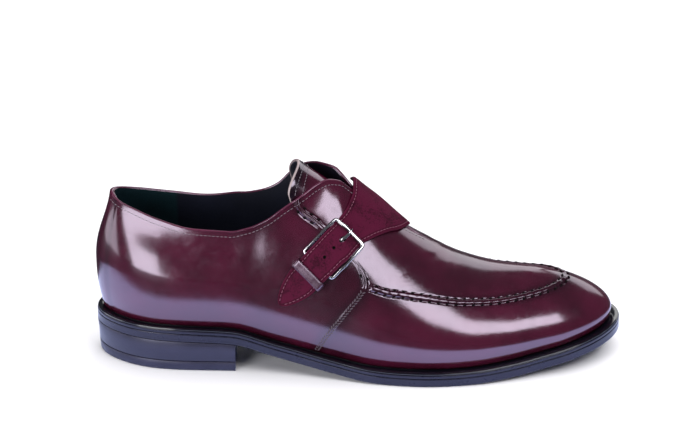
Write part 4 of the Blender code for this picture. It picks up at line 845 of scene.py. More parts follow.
lining = lining_finish()
faces = np.concatenate((outer_faces, inner_faces, rim, foot_strip))
numbers = np.repeat((0, 1, 0, 0), [len(part) for part in (outer_faces, inner_faces, rim, foot_strip)])
FLEX = columns(
    "section level  long   tall  size",
    (0.225, 0.48, 0.050, 0.24, 1.6),
    (0.590, 0.62, 0.028, 0.14, 1.6),
    (0.360, 0.45, 0.045, 0.20, 0.9),
    (0.560, 0.28, 0.040, 0.10, 1.0),
)
flex = sum(size * np.exp(-((section_of - section) / long) ** 2 - ((level_of - level) / tall) ** 2)
           for section, level, long, tall, size in zip(*FLEX.values()))
inside = np.zeros(inner.shape[0] * count)
upper = make_piece("upper_calf", np.concatenate((outer.reshape(-1, 3), inner.reshape(-1, 3))), faces,
                   [burgundy, lining], numbers,
                   {"shade": np.concatenate((shade.ravel(), inside)),
                    "flex": np.concatenate((flex.ravel(), inside)),
                    "part": np.concatenate((section_of.ravel(), lining_part.ravel()))})
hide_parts("upper")

# Collar binding. A thin strip of calf is rolled over the top edge of the wall and sewn down, all round
# the collar, the tabs and the slit.
BINDING = 0.00082


def unit(way):
    """Directions of length one."""
    return way / np.linalg.norm(way, axis=-1, keepdims=True)


def round_loop(name, path, radius, sides, finish):
    """Circles of one radius, square to a path that comes home."""
    step = unit(np.roll(path, -1, axis=0) - np.roll(path, 1, axis=0))
    across = unit(np.cross(step, (0.0, 0.0, 1.0)))
    over = np.cross(across, step)
    angle = (np.arange(sides) * 2 * np.pi / sides)[:, None]
    points = path[:, None] + (across[:, None] * np.cos(angle) + over[:, None] * np.sin(angle)) * radius
    faces = grid_faces(len(path), sides, wrap_rows=True, wrap_count=True)[:, ::-1]
    return make_piece(name, points.reshape(-1, 3), faces, [finish])


middle_edge = (outer[-1] + inner[-1]) / 2
opening = np.concatenate((np.arange(closed + 1), np.arange(count - closed, count)))
edge_path = middle_edge[opening]
edge_path[:, 2] = np.maximum(outer[-1], inner[-1])[opening, 2] - 0.0004
binding_calf = calf("binding_calf", (0.020, 0.004, 0.010), (0.055, 0.010, 0.026), (0.10, 0.024, 0.050),
                    (0.12, 0.20), 0.9)
binding = round_loop("collar_binding", edge_path, BINDING, 12, binding_calf)

# Stitches. Waxed thread, coarse and slanted along the apron and quarter seams, and fine along the
# collar. Each stitch dives into the leather at both its ends.
HAND_STITCH = (0.0026, 0.00060)
PLAIT_STITCH = (0.0022, 0.00034)
FINE_STITCH = (0.0017, 0.00018)
QUARTER_PITCH = 0.0050
PLAIT_PITCH = 0.0019
COLLAR_PITCH = 0.0023
COLLAR_SEWN = 0.0027


def stitch_row(name, path, normal, pitch, size, finish, slant=0.0, lift=0.5):
    """Capsules at equal steps along a path: six-sided rings which thin out and dive at both ends.

    The size holds a stitch's length and its thread's radius.
    """
    length, radius = size
    run = np.concatenate(([0.0], np.cumsum(np.linalg.norm(np.diff(path, axis=0), axis=1))))
    at = np.arange(0.5 * pitch, run[-1] - 0.3 * pitch, pitch)
    spot, up, ahead, behind = (np.stack([np.interp(np.clip(at + shift, 0, run[-1]), run, values[:, k])
                                         for k in range(3)], axis=-1)
                               for values, shift in ((path, 0), (normal, 0), (path, 3e-4), (path, -3e-4)))
    up, way = unit(up), unit(ahead - behind)
    side = unit(np.cross(up, way))
    way = np.cos(slant) * way + np.sin(slant) * side
    side = unit(np.cross(up, way))
    t = np.array((-1.0, -0.86, -0.5, 0.0, 0.5, 0.86, 1.0))[:, None]
    angle = np.arange(6)[None, :] * np.pi / 3
    thick = radius * np.sqrt(np.clip(1 - 0.9 * t ** 4, 0.03, 1))
    x = 0.5 * length * t + 0 * angle
    y = thick * np.cos(angle)
    z = thick * np.sin(angle) + radius * (lift - 1.6 * t ** 4)
    parts = [value.reshape(1, -1, 1) for value in (x, y, z)]
    points = spot[:, None] + way[:, None] * parts[0] + side[:, None] * parts[1] + up[:, None] * parts[2]
    faces = np.concatenate((grid_faces(7, 6, wrap_count=True),
                            ((5, 4, 1, 0), (4, 3, 2, 1)), ((36, 37, 40, 41), (37, 38, 39, 40))))
    every = faces[None] + np.arange(len(at))[:, None, None] * 42
    made = make_piece(name, points.reshape(-1, 3), every.reshape(-1, 4), [finish])
    return made


def thread(name, dark, light, gloss=0.5):
    """Waxed thread: twisted plies as slanted lines, with a soft gloss."""
    made, tree, shader = new_finish(name, Specular_IOR_Level=gloss)
    place = tree.nodes.new("ShaderNodeTexCoord").outputs["Object"]
    plies = put(tree, "ShaderNodeTexWave", {"Vector": place, "Scale": 1100.0, "Distortion": 1.5},
                bands_direction="DIAGONAL")
    colour = ramp(tree, plies.outputs["Fac"], (0.2, dark), (0.8, light))
    dent = put(tree, "ShaderNodeBump", {"Height": plies.outputs["Fac"], "Strength": 0.5, "Distance": 0.0001})
    tree.links.new(colour, shader.inputs["Base Color"])
    tree.links.new(dent.outputs[0], shader.inputs["Normal"])
    shader.inputs["Roughness"].default_value = 0.5
    return made


def line_on(side, section, level, over=0.0, along=0.0):
    """A line on the shell, moved over it or along it by a distance, with its outward directions."""
    _, way_along, way_over, _ = leather_at(side, section, level)
    level = level + over / np.linalg.norm(way_over, axis=-1)
    section = section + along / np.linalg.norm(way_along, axis=-1)
    points, _, normal = shell(side, section, level)
    return points, normal


def round_toe(first, over):
    """The apron seam's line from one quarter round the toe to the other, moved over it."""
    section = np.concatenate((np.linspace(first, 0.86, 120), 1 - 0.14 * np.linspace(1, 0.02, 90) ** 2))
    sides = [line_on(side, section, read(APRON, "level", section), over=over) for side in (LATERAL, MEDIAL)]
    return [np.concatenate((a, b[::-1])) for a, b in zip(*sides)]


dark_thread = thread("dark_thread", (0.0015, 0.0008, 0.0012), (0.008, 0.004, 0.006), 0.10)
grey_thread = thread("grey_thread", (0.05, 0.04, 0.05), (0.28, 0.25, 0.29))
plait_thread = thread("plait_thread", (0.012, 0.008, 0.012), (0.16, 0.13, 0.16), 0.3)
for place, over in (("low", -APRON_SEWN), ("high", APRON_SEWN)):
    stitch_row(f"apron_stitches_{place}", *round_toe(0.464, over), STITCH_PITCH, HAND_STITCH, dark_thread,
               slant=0.5)
for side in (LATERAL, MEDIAL):
    breaks = ((0.385, 0.44), (0.69, 0.985)) if side == LATERAL else ((0.385, 0.985),)
    for part, (low, high) in enumerate(breaks):
        for place, along in (("back", -QUARTER_SEWN), ("front", QUARTER_SEWN)):
            level = np.linspace(low, high, 160)
            stitch_row(f"quarter_stitches_{SIDE_NAME[side]}_{place}_{part}",
                       *line_on(side, QUARTER_SECTION + 0 * level, level, along=along),
                       QUARTER_PITCH, HAND_STITCH, dark_thread, slant=0.35)
    level = np.linspace(-0.93, 0.34, 260)
    for place, along, slant in (("back", -PIPE_OFFSET, 0.62), ("front", PIPE_OFFSET, -0.62)):
        line = line_on(side, QUARTER_SECTION + 0 * level, level, along=along)
        stitch_row(f"plait_{SIDE_NAME[side]}_{place}", *line, PLAIT_PITCH, PLAIT_STITCH, plait_thread,
                   slant=slant, lift=0.2)
    section = np.linspace(0.004, 0.625, 400)
    line = line_on(side, section, 1.0 + 0 * section, over=-COLLAR_SEWN)
    stitch_row(f"collar_stitches_{SIDE_NAME[side]}", *line, COLLAR_PITCH, FINE_STITCH, grey_thread)

# Tongue. Calf over a soft lining, curved over the instep, with its raw edge dyed pale and sewn twice.
# It lies loose under the tabs and is sewn to the vamp at its lower end.
TONGUE_THICK = 0.0018
TONGUE_HORN = 0.0090
TONGUE = columns(
    "along  lateral               medial                height                 fall    spread skirt",
    (0.389, 0.376 * COLLAR_WIDTH, 0.344 * COLLAR_WIDTH, 1.042 * INSTEP_HEIGHT, 0.0125, 0.50, 0.0120),
    (0.433, 0.352 * COLLAR_WIDTH, 0.300 * COLLAR_WIDTH, 0.968 * INSTEP_HEIGHT, 0.0135, 0.75, 0.0020),
    (0.483, 0.350 * COLLAR_WIDTH, 0.250 * COLLAR_WIDTH, 0.893 * INSTEP_HEIGHT, 0.0110, 1.00, 0.0004),
    (0.533, 0.364 * COLLAR_WIDTH, 0.260 * COLLAR_WIDTH, 0.792 * INSTEP_HEIGHT, 0.0095, 1.00, 0.0004),
    (0.595, 0.350 * COLLAR_WIDTH, 0.240 * COLLAR_WIDTH, 0.648 * INSTEP_HEIGHT, 0.0060, 1.00, 0.0004),
)


def tongue_top(along, turn):
    """Half pipe: its width is a sine, it falls with one minus the circle, and its skirt hangs straight."""
    side = np.sin(np.clip(turn * 1.25, -1, 1) * np.pi / 2)
    skirt = np.clip(abs(turn) * 1.25 - 1, 0, 1) * 4
    rear = np.clip((0.46 - along) / 0.09, 0, 1) ** 2
    x = along * LENGTH - TONGUE_HORN * rear * side ** 2 * (1 - 0.6 * skirt)
    half = np.where(side < 0, read(TONGUE, "lateral", along), read(TONGUE, "medial", along))
    y = read(OUTLINE, "ridge", along) + half * side
    fall = read(TONGUE, "fall", along) * (1 - (1 - side ** 2) ** read(TONGUE, "spread", along))
    hang = read(TONGUE, "skirt", along) * skirt
    z = feather_height(along * LENGTH) + read(TONGUE, "height", along) - fall - hang
    return np.stack(np.broadcast_arrays(x, y, z), axis=-1)


def sheet_normals(top):
    """Outward directions of a grid whose rows run along it."""
    return unit(np.cross(np.gradient(top, axis=0), np.gradient(top, axis=1)))


def rounded_sheet(name, top, thick, finishes, facts=None):
    """A grid and the same grid underneath, joined by a rounded border."""
    rows, across = top.shape[:2]
    under = top - sheet_normals(top) * thick
    number = np.arange(rows * across).reshape(rows, across)
    border = np.concatenate((number[0, :], number[1:, -1], number[-1, -2::-1], number[-2:0:-1, 0]))
    within = [np.clip(np.arange(size), 1, size - 2) for size in (rows, across)]
    inside = number[within[0]][:, within[1]].ravel()
    flat_top, flat_under = top.reshape(-1, 3), under.reshape(-1, 3)
    out = unit(flat_top[border] - flat_top[inside[border]])
    rings = [flat_top[border] * (1 - s) + flat_under[border] * s
             + out * thick * 0.5 * np.sin(np.pi * s) ** 0.7 for s in (0.12, 0.3, 0.5, 0.7, 0.88)]
    points = np.concatenate((flat_top, flat_under, *rings))
    size = rows * across
    loops = [2 * size + len(border) * k + np.arange(len(border)) for k in range(len(rings))]
    loops = [border, *loops, border + size]
    sides = [np.stack((a, np.roll(a, -1), np.roll(b, -1), b), axis=-1) for a, b in zip(loops, loops[1:])]
    face_top = grid_faces(rows, across)[:, ::-1]
    faces = np.concatenate((face_top, face_top[:, ::-1] + size, *sides))
    numbers = np.concatenate((np.zeros(len(face_top)), np.full(len(face_top), len(finishes) - 1),
                              np.full(sum(len(part) for part in sides), min(1, len(finishes) - 1))))
    facts = {key: np.concatenate((value.ravel(), value.ravel(), *[value.ravel()[border]] * len(rings)))
             for key, value in (facts or {}).items()}
    return make_piece(name, points, faces, finishes, numbers, facts)


tongue_along = np.linspace(TONGUE["along"][0], TONGUE["along"][-1], 61)[:, None]
tongue_turn = np.linspace(-1, 1, 81)[None, :]
tongue_grid = tongue_top(tongue_along, tongue_turn)
# Painted shade: the colour darkens in a band about 4 mm wide along the tongue's rear edge.
rear_shade = np.exp(-((tongue_along - TONGUE["along"][0]) * LENGTH / 0.004) ** 2) + 0 * tongue_turn
pale_edge = dye("pale_edge", (0.20, 0.15, 0.16), (0.36, 0.29, 0.30), (0.35, 0.5), 0.2, pore=1800.0)
tongue = rounded_sheet("tongue_calf", tongue_grid, TONGUE_THICK, [burgundy, pale_edge, lining],
                       {"shade": 0.6 * rear_shade, "part": 0.5 + 0 * rear_shade})
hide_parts("tongue")
TONGUE_PITCH = 0.0021
TONGUE_SEWN = (0.0020, 0.0046)
for row, inset in enumerate(TONGUE_SEWN):
    turn = np.linspace(-0.74, 0.74, 300)[:, None]
    line = tongue_top(TONGUE["along"][0] + inset / LENGTH + 0 * turn, turn)[:, 0]
    ahead = tongue_top(TONGUE["along"][0] + inset / LENGTH + 0.003 + 0 * turn, turn)[:, 0]
    up = unit(np.cross(ahead - line, np.gradient(line, axis=0)))
    stitch_row(f"tongue_stitches_{row}", line, up, TONGUE_PITCH, FINE_STITCH, grey_thread)

# Strap. Burgundy suede on a firm backing, from the far side of the throat to its pointed tip, sewn
# close inside both edges, with a slot for the prong and two punched holes.
STRAP_THICK = 0.0018
STRAP_WIDTH = 0.0195
STRAP_TAIL = 0.0560
STRAP_BASE = 0.0400
STRAP_LIFT = 0.0049
KEEPER_AT = 0.0298
KEEPER_WIDTH = 0.0050
KEEPER_THICK = 0.0010
BUCKLE_LENGTH = 0.0248
BUCKLE_WIDTH = 0.0220
HOLE_AT = 0.0057
HOLE_PITCH = 0.0067
HOLE_SIZE = 0.0017
SLOT_LENGTH = 0.0044
PRONG_WIDTH = 0.0016
BUCKLE_SECTION = 0.479
BUCKLE_LEVEL = 0.625
TAIL_WAY = (-0.715, -0.230, -0.660)
GRID_STEP = 0.0010
GRID_WIDE = 0.0270
TIP_START = 0.69 * STRAP_TAIL
STRAP = columns(
    "length  front               heel                lift",
    (-1.00 * STRAP_BASE, 1.10 * STRAP_WIDTH, 1.10 * STRAP_WIDTH, 2.0 * GAP),
    (-0.75 * STRAP_BASE, 1.02 * STRAP_WIDTH, 0.98 * STRAP_WIDTH, 1.3 * GAP),
    (-0.45 * STRAP_BASE, 0.78 * STRAP_WIDTH, 0.68 * STRAP_WIDTH, 1.3 * GAP),
    (-0.20 * STRAP_BASE, 0.60 * STRAP_WIDTH, 0.54 * STRAP_WIDTH, 1.3 * GAP),
    (0.00 * BUCKLE_LENGTH, 0.50 * STRAP_WIDTH, 0.50 * STRAP_WIDTH, 0.10 * STRAP_LIFT),
    (0.17 * BUCKLE_LENGTH, 0.50 * STRAP_WIDTH, 0.50 * STRAP_WIDTH, 0.37 * STRAP_LIFT),
    (0.33 * BUCKLE_LENGTH, 0.50 * STRAP_WIDTH, 0.50 * STRAP_WIDTH, 0.70 * STRAP_LIFT),
    (0.58 * BUCKLE_LENGTH, 0.49 * STRAP_WIDTH, 0.49 * STRAP_WIDTH, 0.94 * STRAP_LIFT),
    (0.92 * BUCKLE_LENGTH, 0.48 * STRAP_WIDTH, 0.48 * STRAP_WIDTH, 1.00 * STRAP_LIFT),
    (1.08 * BUCKLE_LENGTH, 0.47 * STRAP_WIDTH, 0.47 * STRAP_WIDTH, 0.98 * STRAP_LIFT),
    (1.30 * BUCKLE_LENGTH, 0.46 * STRAP_WIDTH, 0.46 * STRAP_WIDTH, 0.61 * STRAP_LIFT),
    (1.54 * BUCKLE_LENGTH, 0.46 * STRAP_WIDTH, 0.46 * STRAP_WIDTH, 0.33 * STRAP_LIFT),
    (1.90 * BUCKLE_LENGTH, 0.46 * STRAP_WIDTH, 0.46 * STRAP_WIDTH, 0.16 * STRAP_LIFT),
    (1.00 * STRAP_TAIL, 0.46 * STRAP_WIDTH, 0.46 * STRAP_WIDTH, 0.10 * STRAP_LIFT),
)


def tip_share(length):
    """Narrowing to the tip: the root of one minus a power of the way into it."""
    way = np.clip((length - TIP_START) / (STRAP_TAIL - TIP_START), 0, 1)
    return np.sqrt(1 - way ** 1.7) * (1 - 0.25 * way) + 0.04 * way


def slopes(section, level):
    """How the buckle side of the last runs with section and level, and its outward direction."""
    along, over = speeds(lambda a, b: last(LATERAL, a, b), section, level)
    return along, over, unit(np.cross(along, over))


def walk(section, level, way, steps, distance):
    """Stations of a straight walk on the last: each step solves its slopes for the way to go."""
    places = [(section, level, way)]
    for _ in range(steps):
        section, level, way = places[-1]
        along, over, normal = slopes(section, level)
        way = unit(way - (way * normal).sum(-1, keepdims=True) * normal)
        aa, ab, bb = ((p * q).sum(-1) for p, q in ((along, along), (along, over), (over, over)))
        a, b = (along * way).sum(-1), (over * way).sum(-1)
        size = aa * bb - ab ** 2
        places.append((section + distance * (a * bb - b * ab) / size,
                       level + distance * (b * aa - a * ab) / size, way))
    return places


def strap_grid():
    """Points and outward directions of the last under the strap, along it and across it."""
    way = np.array(TAIL_WAY)
    start = np.array(BUCKLE_SECTION), np.array(BUCKLE_LEVEL)
    tail = walk(*start, way, int(round((STRAP_TAIL + 0.008) / GRID_STEP)), GRID_STEP)
    head = walk(*start, -way, int(round(STRAP_BASE / GRID_STEP)), GRID_STEP)
    line = [(s, t, -w) for s, t, w in head[:0:-1]] + tail
    section, level, way = (np.array([place[i] for place in line]) for i in range(3))
    across = np.cross(slopes(section, level)[2], way)
    wide = int(round(GRID_WIDE / GRID_STEP))
    both = (walk(section, level, -across, wide, GRID_STEP)[:0:-1]
            + walk(section, level, across, wide, GRID_STEP))
    section, level = (np.stack([place[i] for place in both], axis=1) for i in range(2))
    return last(LATERAL, section, level), slopes(section, level)[2]


GRID_POINTS, GRID_NORMALS = strap_grid()


def on_strap(a, b, h):
    """A point over the last, from length along the strap, width towards the toe and height."""
    a, b, h = np.broadcast_arrays(*(np.asarray(v, dtype=float) for v in (a, b, h)))
    i, j = (a + STRAP_BASE) / GRID_STEP, (b + GRID_WIDE) / GRID_STEP
    i0 = np.clip(np.floor(i).astype(int), 0, GRID_POINTS.shape[0] - 2)
    j0 = np.clip(np.floor(j).astype(int), 0, GRID_POINTS.shape[1] - 2)
    u, v = (i - i0)[..., None], (j - j0)[..., None]

    def blend(grid):
        return ((grid[i0, j0] * (1 - u) + grid[i0 + 1, j0] * u) * (1 - v)
                + (grid[i0, j0 + 1] * (1 - u) + grid[i0 + 1, j0 + 1] * u) * v)
    return blend(GRID_POINTS) + blend(GRID_NORMALS) * h[..., None]


def face_outwards(work):
    """Faces turned so that they point out of their closed solid."""
    bmesh.ops.recalc_face_normals(work, faces=work.faces)


def swept(name, stations, finish, loop=False, facts=None):
    """A solid along rows of equal closed profiles, given in the strap's own length, width and height."""
    points = on_strap(stations[..., 0], stations[..., 1], stations[..., 2])
    rows, across = points.shape[:2]
    faces = grid_faces(rows, across, wrap_rows=loop, wrap_count=True)
    mesh_points = points.reshape(-1, 3)
    if not loop:
        k = np.arange(across)
        ends = mesh_points[:across].mean(axis=0), mesh_points[-across:].mean(axis=0)
        mesh_points = np.concatenate((mesh_points, ends))
        newest = len(mesh_points) - 1
        for first, end, flip in ((0, newest - 1, 1), ((rows - 1) * across, newest, -1)):
            fan = np.stack((k + first, np.full(across, end), np.full(across, end), (k + 1) % across + first),
                           axis=-1)
            faces = np.concatenate((faces, fan[:, ::flip]))
        facts = {key: np.append(value.ravel(), (0.0, 0.0)) for key, value in (facts or {}).items()}
    corners = [tuple(dict.fromkeys(face)) for face in faces.tolist()]
    mesh = bpy.data.meshes.new(name)
    mesh.from_pydata((mesh_points + TO_FRAME).tolist(), [], corners)
    return set_out(name, mesh, [finish], facts, face_outwards)


def strap_half(length, share):
    """Half width of the strap towards its front or its heel edge."""
    return np.where(share < 0, read(STRAP, "heel", length), read(STRAP, "front", length)) * tip_share(length)


def strap_top(length):
    """Height of the strap's upper face over the last."""
    return read(STRAP, "lift", length) + STRAP_THICK


SEWN_INSET = 0.0018
STRAP_PITCH = 0.0024
STRAP_STITCH = (0.0018, 0.00022)


def strap_stations(lengths):
    """Profiles of the strap: a crowned top with sewn grooves, round edges, and a flat underside."""
    round_edge = np.linspace(-0.5, 0.5, 9)[1:-1] * np.pi
    top = np.sin(np.linspace(-0.5, 0.5, 45) * np.pi)
    edge = STRAP_THICK / 2
    shares = np.concatenate((top, np.ones(7), top[::-4], -np.ones(7)))
    front = strap_half(lengths[:, None], shares[None, :])
    soft = np.minimum(edge, 0.7 * front)
    bulge = np.concatenate((0 * top, np.cos(round_edge), 0 * top[::-4], np.cos(round_edge)))
    wide = shares * (front - soft) + np.sign(shares) * soft * bulge
    rise = np.concatenate((0 * top + 1, -np.sin(round_edge), 0 * top[::-4] - 1, np.sin(round_edge)))
    inside = front - abs(wide)
    over = (np.arange(len(shares)) < len(top)) * 1.0
    groove = 0.00030 * bell(inside - SEWN_INSET, 0.0006)
    crown = over * (0.00028 * np.sqrt(np.clip(inside / 0.003, 0, 1)) - groove)
    height = read(STRAP, "lift", lengths)[:, None] + edge + rise * edge + crown
    return np.stack(np.broadcast_arrays(lengths[:, None], wide, height), axis=-1), inside * over


def suede_finish():
    """Suede: a rough nap that lies in patches, paler where it was brushed, with short fibres in relief, and
    painted shade in its sewn grooves.
    """
    made, tree, shader = new_finish("burgundy_suede", Specular_IOR_Level=0.15, Roughness=0.95,
                                    Sheen_Weight=0.03, Sheen_Roughness=0.4,
                                    Sheen_Tint=(0.85, 0.30, 0.45, 1.0))
    spots = marks(tree, 90.0, 3200.0, 900.0)
    inside = put(tree, "ShaderNodeAttribute", attribute_name="inside").outputs["Fac"]
    nap = put(tree, "ShaderNodeMath", {0: spots["Clouds"], 1: spots["Scuffs"]}, operation="ADD")
    colour = ramp(tree, nap.outputs[0], (0.75, (0.024, 0.0018, 0.0085)), (1.25, (0.066, 0.0045, 0.022)))
    # Painted shade: the colour is darkened along the sewn groove inside each edge.
    sewn = put(tree, "ShaderNodeMath", {0: inside, 1: SEWN_INSET}, operation="SUBTRACT")
    off = put(tree, "ShaderNodeMath", {0: sewn.outputs[0]}, operation="ABSOLUTE")
    dark = put(tree, "ShaderNodeMapRange", {"Value": off.outputs[0], "From Min": 0.0, "From Max": 0.0016,
                                            "To Min": 0.55, "To Max": 1.0})
    shaded = put(tree, "ShaderNodeVectorMath", {0: colour, "Scale": dark.outputs[0]}, operation="SCALE")
    relief = put(tree, "ShaderNodeMath", {0: spots["Scuffs"], 1: spots["Pores"]}, operation="ADD")
    dent = put(tree, "ShaderNodeBump", {"Height": relief.outputs[0], "Strength": 0.8, "Distance": 0.0002})
    tree.links.new(shaded.outputs[0], shader.inputs["Base Color"])
    tree.links.new(dent.outputs[0], shader.inputs["Normal"])
    return made


def punch(target, cutters):
    """Cut solids out of a piece for good, and take the cutters away."""
    for cutter in cutters:
        change = target.modifiers.new(cutter.name, "BOOLEAN")
        change.operation, change.solver, change.object = "DIFFERENCE", "EXACT", cutter
        change.material_mode = "TRANSFER"
    shown = target.evaluated_get(bpy.context.evaluated_depsgraph_get())
    mesh = bpy.data.meshes.new_from_object(shown)
    mesh.name = target.name
    target.modifiers.clear()
    target.data = mesh
    for cutter in cutters:
        bpy.data.objects.remove(cutter, do_unlink=True)


def post(name, middle, length, width, low, high, finish):
    """An upright oval on the strap's grid, from a low to a high height."""
    angle = np.arange(28) * 2 * np.pi / 28
    oval = np.stack((middle + length / 2 * np.cos(angle), width / 2 * np.sin(angle)), axis=-1)
    return swept(name, np.stack([np.column_stack((oval, np.full(28, z))) for z in (low, high)]), finish)


suede = suede_finish()
# Painted shade: a near-black finish that the cut walls and floors of the slot and holes take from their
# cutters.
hole_shade_finish = dye("painted_hole_shade", (0.0012, 0.0008, 0.0012), (0.004, 0.002, 0.003), (0.8, 0.95), 0.2)
tip = STRAP_TAIL - (STRAP_TAIL - TIP_START) * np.linspace(1, 0, 40)[1:] ** 2
strap_lengths = np.concatenate((np.linspace(-STRAP_BASE, TIP_START, 110), tip))
stations, inside = strap_stations(strap_lengths)
strap = swept("suede_strap", stations, suede, facts={"inside": inside})
high = STRAP_LIFT + 3 * STRAP_THICK
cutters = [post("slot", HOLE_AT, SLOT_LENGTH, PRONG_WIDTH + 3 * GAP, -0.001, high, hole_shade_finish)]
for k in (1, 2):
    at = HOLE_AT + k * HOLE_PITCH
    low = read(STRAP, "lift", at) + GAP
    cutters.append(post(f"hole_{k}", at, HOLE_SIZE, HOLE_SIZE, low, high, hole_shade_finish))
punch(strap, cutters)
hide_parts("strap")
pink_thread = thread("pink_thread", (0.10, 0.020, 0.045), (0.32, 0.09, 0.16))


def strap_edge_line(inset):
    """A line inside the strap's edge, down one side, round the tip and up the other."""
    length = np.concatenate((np.linspace(-STRAP_BASE, TIP_START, 160), tip))
    length = length[length < STRAP_TAIL - inset * 1.1]
    front = strap_half(length, 1.0) - inset
    back = strap_half(length, -1.0) - inset
    a = np.concatenate((length, length[::-1]))
    b = np.concatenate((np.maximum(front, 0), -np.maximum(back, 0)[::-1]))
    top = strap_top(a)
    return on_strap(a, b, top), unit(on_strap(a, b, top + 0.001) - on_strap(a, b, top))


stitch_row("strap_stitches", *strap_edge_line(SEWN_INSET), STRAP_PITCH, STRAP_STITCH, pink_thread, lift=0.4)

# Chape. A strip of the same calf, folded round the buckle's heel bar, sewn to the quarter under the
# strap, with a slot for the prong.
CHAPE_THICK = 0.0009
CHAPE_WIDTH = 0.0140
CHAPE_SLOT = 0.0080
HEEL_BAR_HEIGHT = 0.00225
FRONT_BAR_HEIGHT = 0.00365
CHAPE = columns(
    "length               height",
    (1.48 * BUCKLE_LENGTH, GAP + 0.5 * CHAPE_THICK),
    (1.34 * BUCKLE_LENGTH, GAP + 0.5 * CHAPE_THICK),
    (1.19 * BUCKLE_LENGTH, GAP + 0.5 * CHAPE_THICK),
    (1.04 * BUCKLE_LENGTH, GAP + 0.5 * CHAPE_THICK),
    (0.942 * BUCKLE_LENGTH, GAP + 0.5 * CHAPE_THICK),
    (0.904 * BUCKLE_LENGTH, 0.48 * HEEL_BAR_HEIGHT),
    (0.887 * BUCKLE_LENGTH, 1.00 * HEEL_BAR_HEIGHT),
    (0.900 * BUCKLE_LENGTH, 1.44 * HEEL_BAR_HEIGHT),
    (0.942 * BUCKLE_LENGTH, 1.62 * HEEL_BAR_HEIGHT),
    (1.020 * BUCKLE_LENGTH, 1.62 * HEEL_BAR_HEIGHT),
    (1.092 * BUCKLE_LENGTH, 1.55 * HEEL_BAR_HEIGHT),
    (1.167 * BUCKLE_LENGTH, 1.20 * HEEL_BAR_HEIGHT),
    (1.229 * BUCKLE_LENGTH, 0.92 * HEEL_BAR_HEIGHT),
    (1.333 * BUCKLE_LENGTH, 0.88 * HEEL_BAR_HEIGHT),
)


def finer(path, steps):
    """Catmull-Rom curve through a path's points."""
    knots = np.concatenate((2 * path[:1] - path[1:2], path, 2 * path[-1:] - path[-2:-1]))
    t = np.linspace(0, len(path) - 1, (len(path) - 1) * steps + 1)
    i = np.minimum(t.astype(int), len(path) - 2)
    u = (t - i)[:, None]
    a, b, c, d = (knots[i + k] for k in range(4))
    slope, bend, twist = c - a, 2 * a - 5 * b + 4 * c - d, 3 * b - a - 3 * c + d
    return 0.5 * (2 * b + slope * u + bend * u ** 2 + twist * u ** 3)


def path_normals(path):
    """Directions square to a flat path, on its left."""
    step = unit(np.gradient(path, axis=0))
    return np.stack((-step[:, 1], step[:, 0]), axis=-1)


path = finer(np.stack((CHAPE["length"], CHAPE["height"]), axis=-1), 4)
normals = path_normals(path)
chape_profile = ((-0.5, 0.4), (-0.492, 0.75), (-0.475, 1.0), (0.0, 1.0), (0.475, 1.0), (0.492, 0.75),
                 (0.5, 0.4))
chape_stations = []
for width, thin in chape_profile:
    offset = CHAPE_THICK / 2 * thin * normals
    outline = np.concatenate((path + offset, (path - offset)[::-1]))
    sideways = np.full(len(outline), width * CHAPE_WIDTH)
    chape_stations.append(np.column_stack((outline[:, 0], sideways, outline[:, 1])))
chape = swept("chape_calf", np.stack(chape_stations), burgundy)
chape_slot = post("slot", BUCKLE_LENGTH, CHAPE_SLOT, PRONG_WIDTH + 3 * GAP, -0.001, STRAP_LIFT, burgundy)
punch(chape, [chape_slot])
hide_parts("chape")

# Keeper. A narrow loop of polished calf over the strap, burnished darker than the upper. Its ends are
# sewn to the quarter, and it holds the strap's tail down.
shoulder = np.array((1.00, 1.00, 0.96, 0.87, 0.61, 0.31, 0.00))
drop = np.array((1.00, 0.40, 0.12, 0.00, 0.00, 0.00, 0.00))
reach = read(STRAP, "front", KEEPER_AT) + 2 * GAP + KEEPER_THICK / 2
keeper_profile = ((-0.5, 0.35), (-0.485, 0.7), (-0.44, 0.95), (-0.3, 1.05), (0.0, 1.12), (0.3, 1.05),
                  (0.44, 0.95), (0.485, 0.7), (0.5, 0.35))
keeper_stations = []
for share, thin in keeper_profile:
    length = KEEPER_AT + KEEPER_WIDTH * (0.5 + share)
    high = read(STRAP, "lift", length) + STRAP_THICK + 1.5 * GAP + KEEPER_THICK / 2 + 0.00025
    height = high - drop * (high - GAP)
    half = np.stack((reach * shoulder, height), axis=-1)
    path = finer(np.concatenate((half * (-1, 1), half[-2::-1])), 4)
    offset = KEEPER_THICK / 2 * thin * path_normals(path)
    outline = np.concatenate((path + offset, (path - offset)[::-1]))
    keeper_stations.append(np.column_stack((np.full(len(outline), length), outline)))
keeper_calf = calf("keeper_calf", (0.010, 0.003, 0.007), (0.030, 0.008, 0.017), (0.065, 0.018, 0.040),
                   (0.08, 0.40), 2.0)
keeper = swept("keeper_calf", np.stack(keeper_stations), keeper_calf)
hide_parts("keeper")

# Buckle. A cast frame of polished steel with rounded bars, and a prong bent from flat wire round its
# heel bar.
BAR_WIDTH = 0.0018
BAR_THICK = 0.0015
PRONG_THICK = 0.0009
PRONG_HEIGHT = 0.0052
FRAME_CORNER = 20
BAR_ROUND = 0.85
PRONG_ROUND = 0.6
steel, tree, shader = new_finish("polished_steel", Metallic=1.0)
spots = marks(tree, 120.0, 2400.0, 700.0)
colour = ramp(tree, spots["Clouds"], (0.3, (0.50, 0.50, 0.54)), (0.7, (0.74, 0.74, 0.78)))
gloss = put(tree, "ShaderNodeMapRange", {"Value": spots["Scuffs"], "From Min": 0.3, "From Max": 0.75,
                                         "To Min": 0.12, "To Max": 0.26})
dent = put(tree, "ShaderNodeBump", {"Height": spots["Scuffs"], "Strength": 0.06, "Distance": 0.0001})
tree.links.new(colour, shader.inputs["Base Color"])
tree.links.new(gloss.outputs[0], shader.inputs["Roughness"])
tree.links.new(dent.outputs[0], shader.inputs["Normal"])


def drawn_square(value, power):
    """A sine or cosine drawn towards a square: its size to a power below one, with its own sign."""
    return np.sign(value) * abs(value) ** power


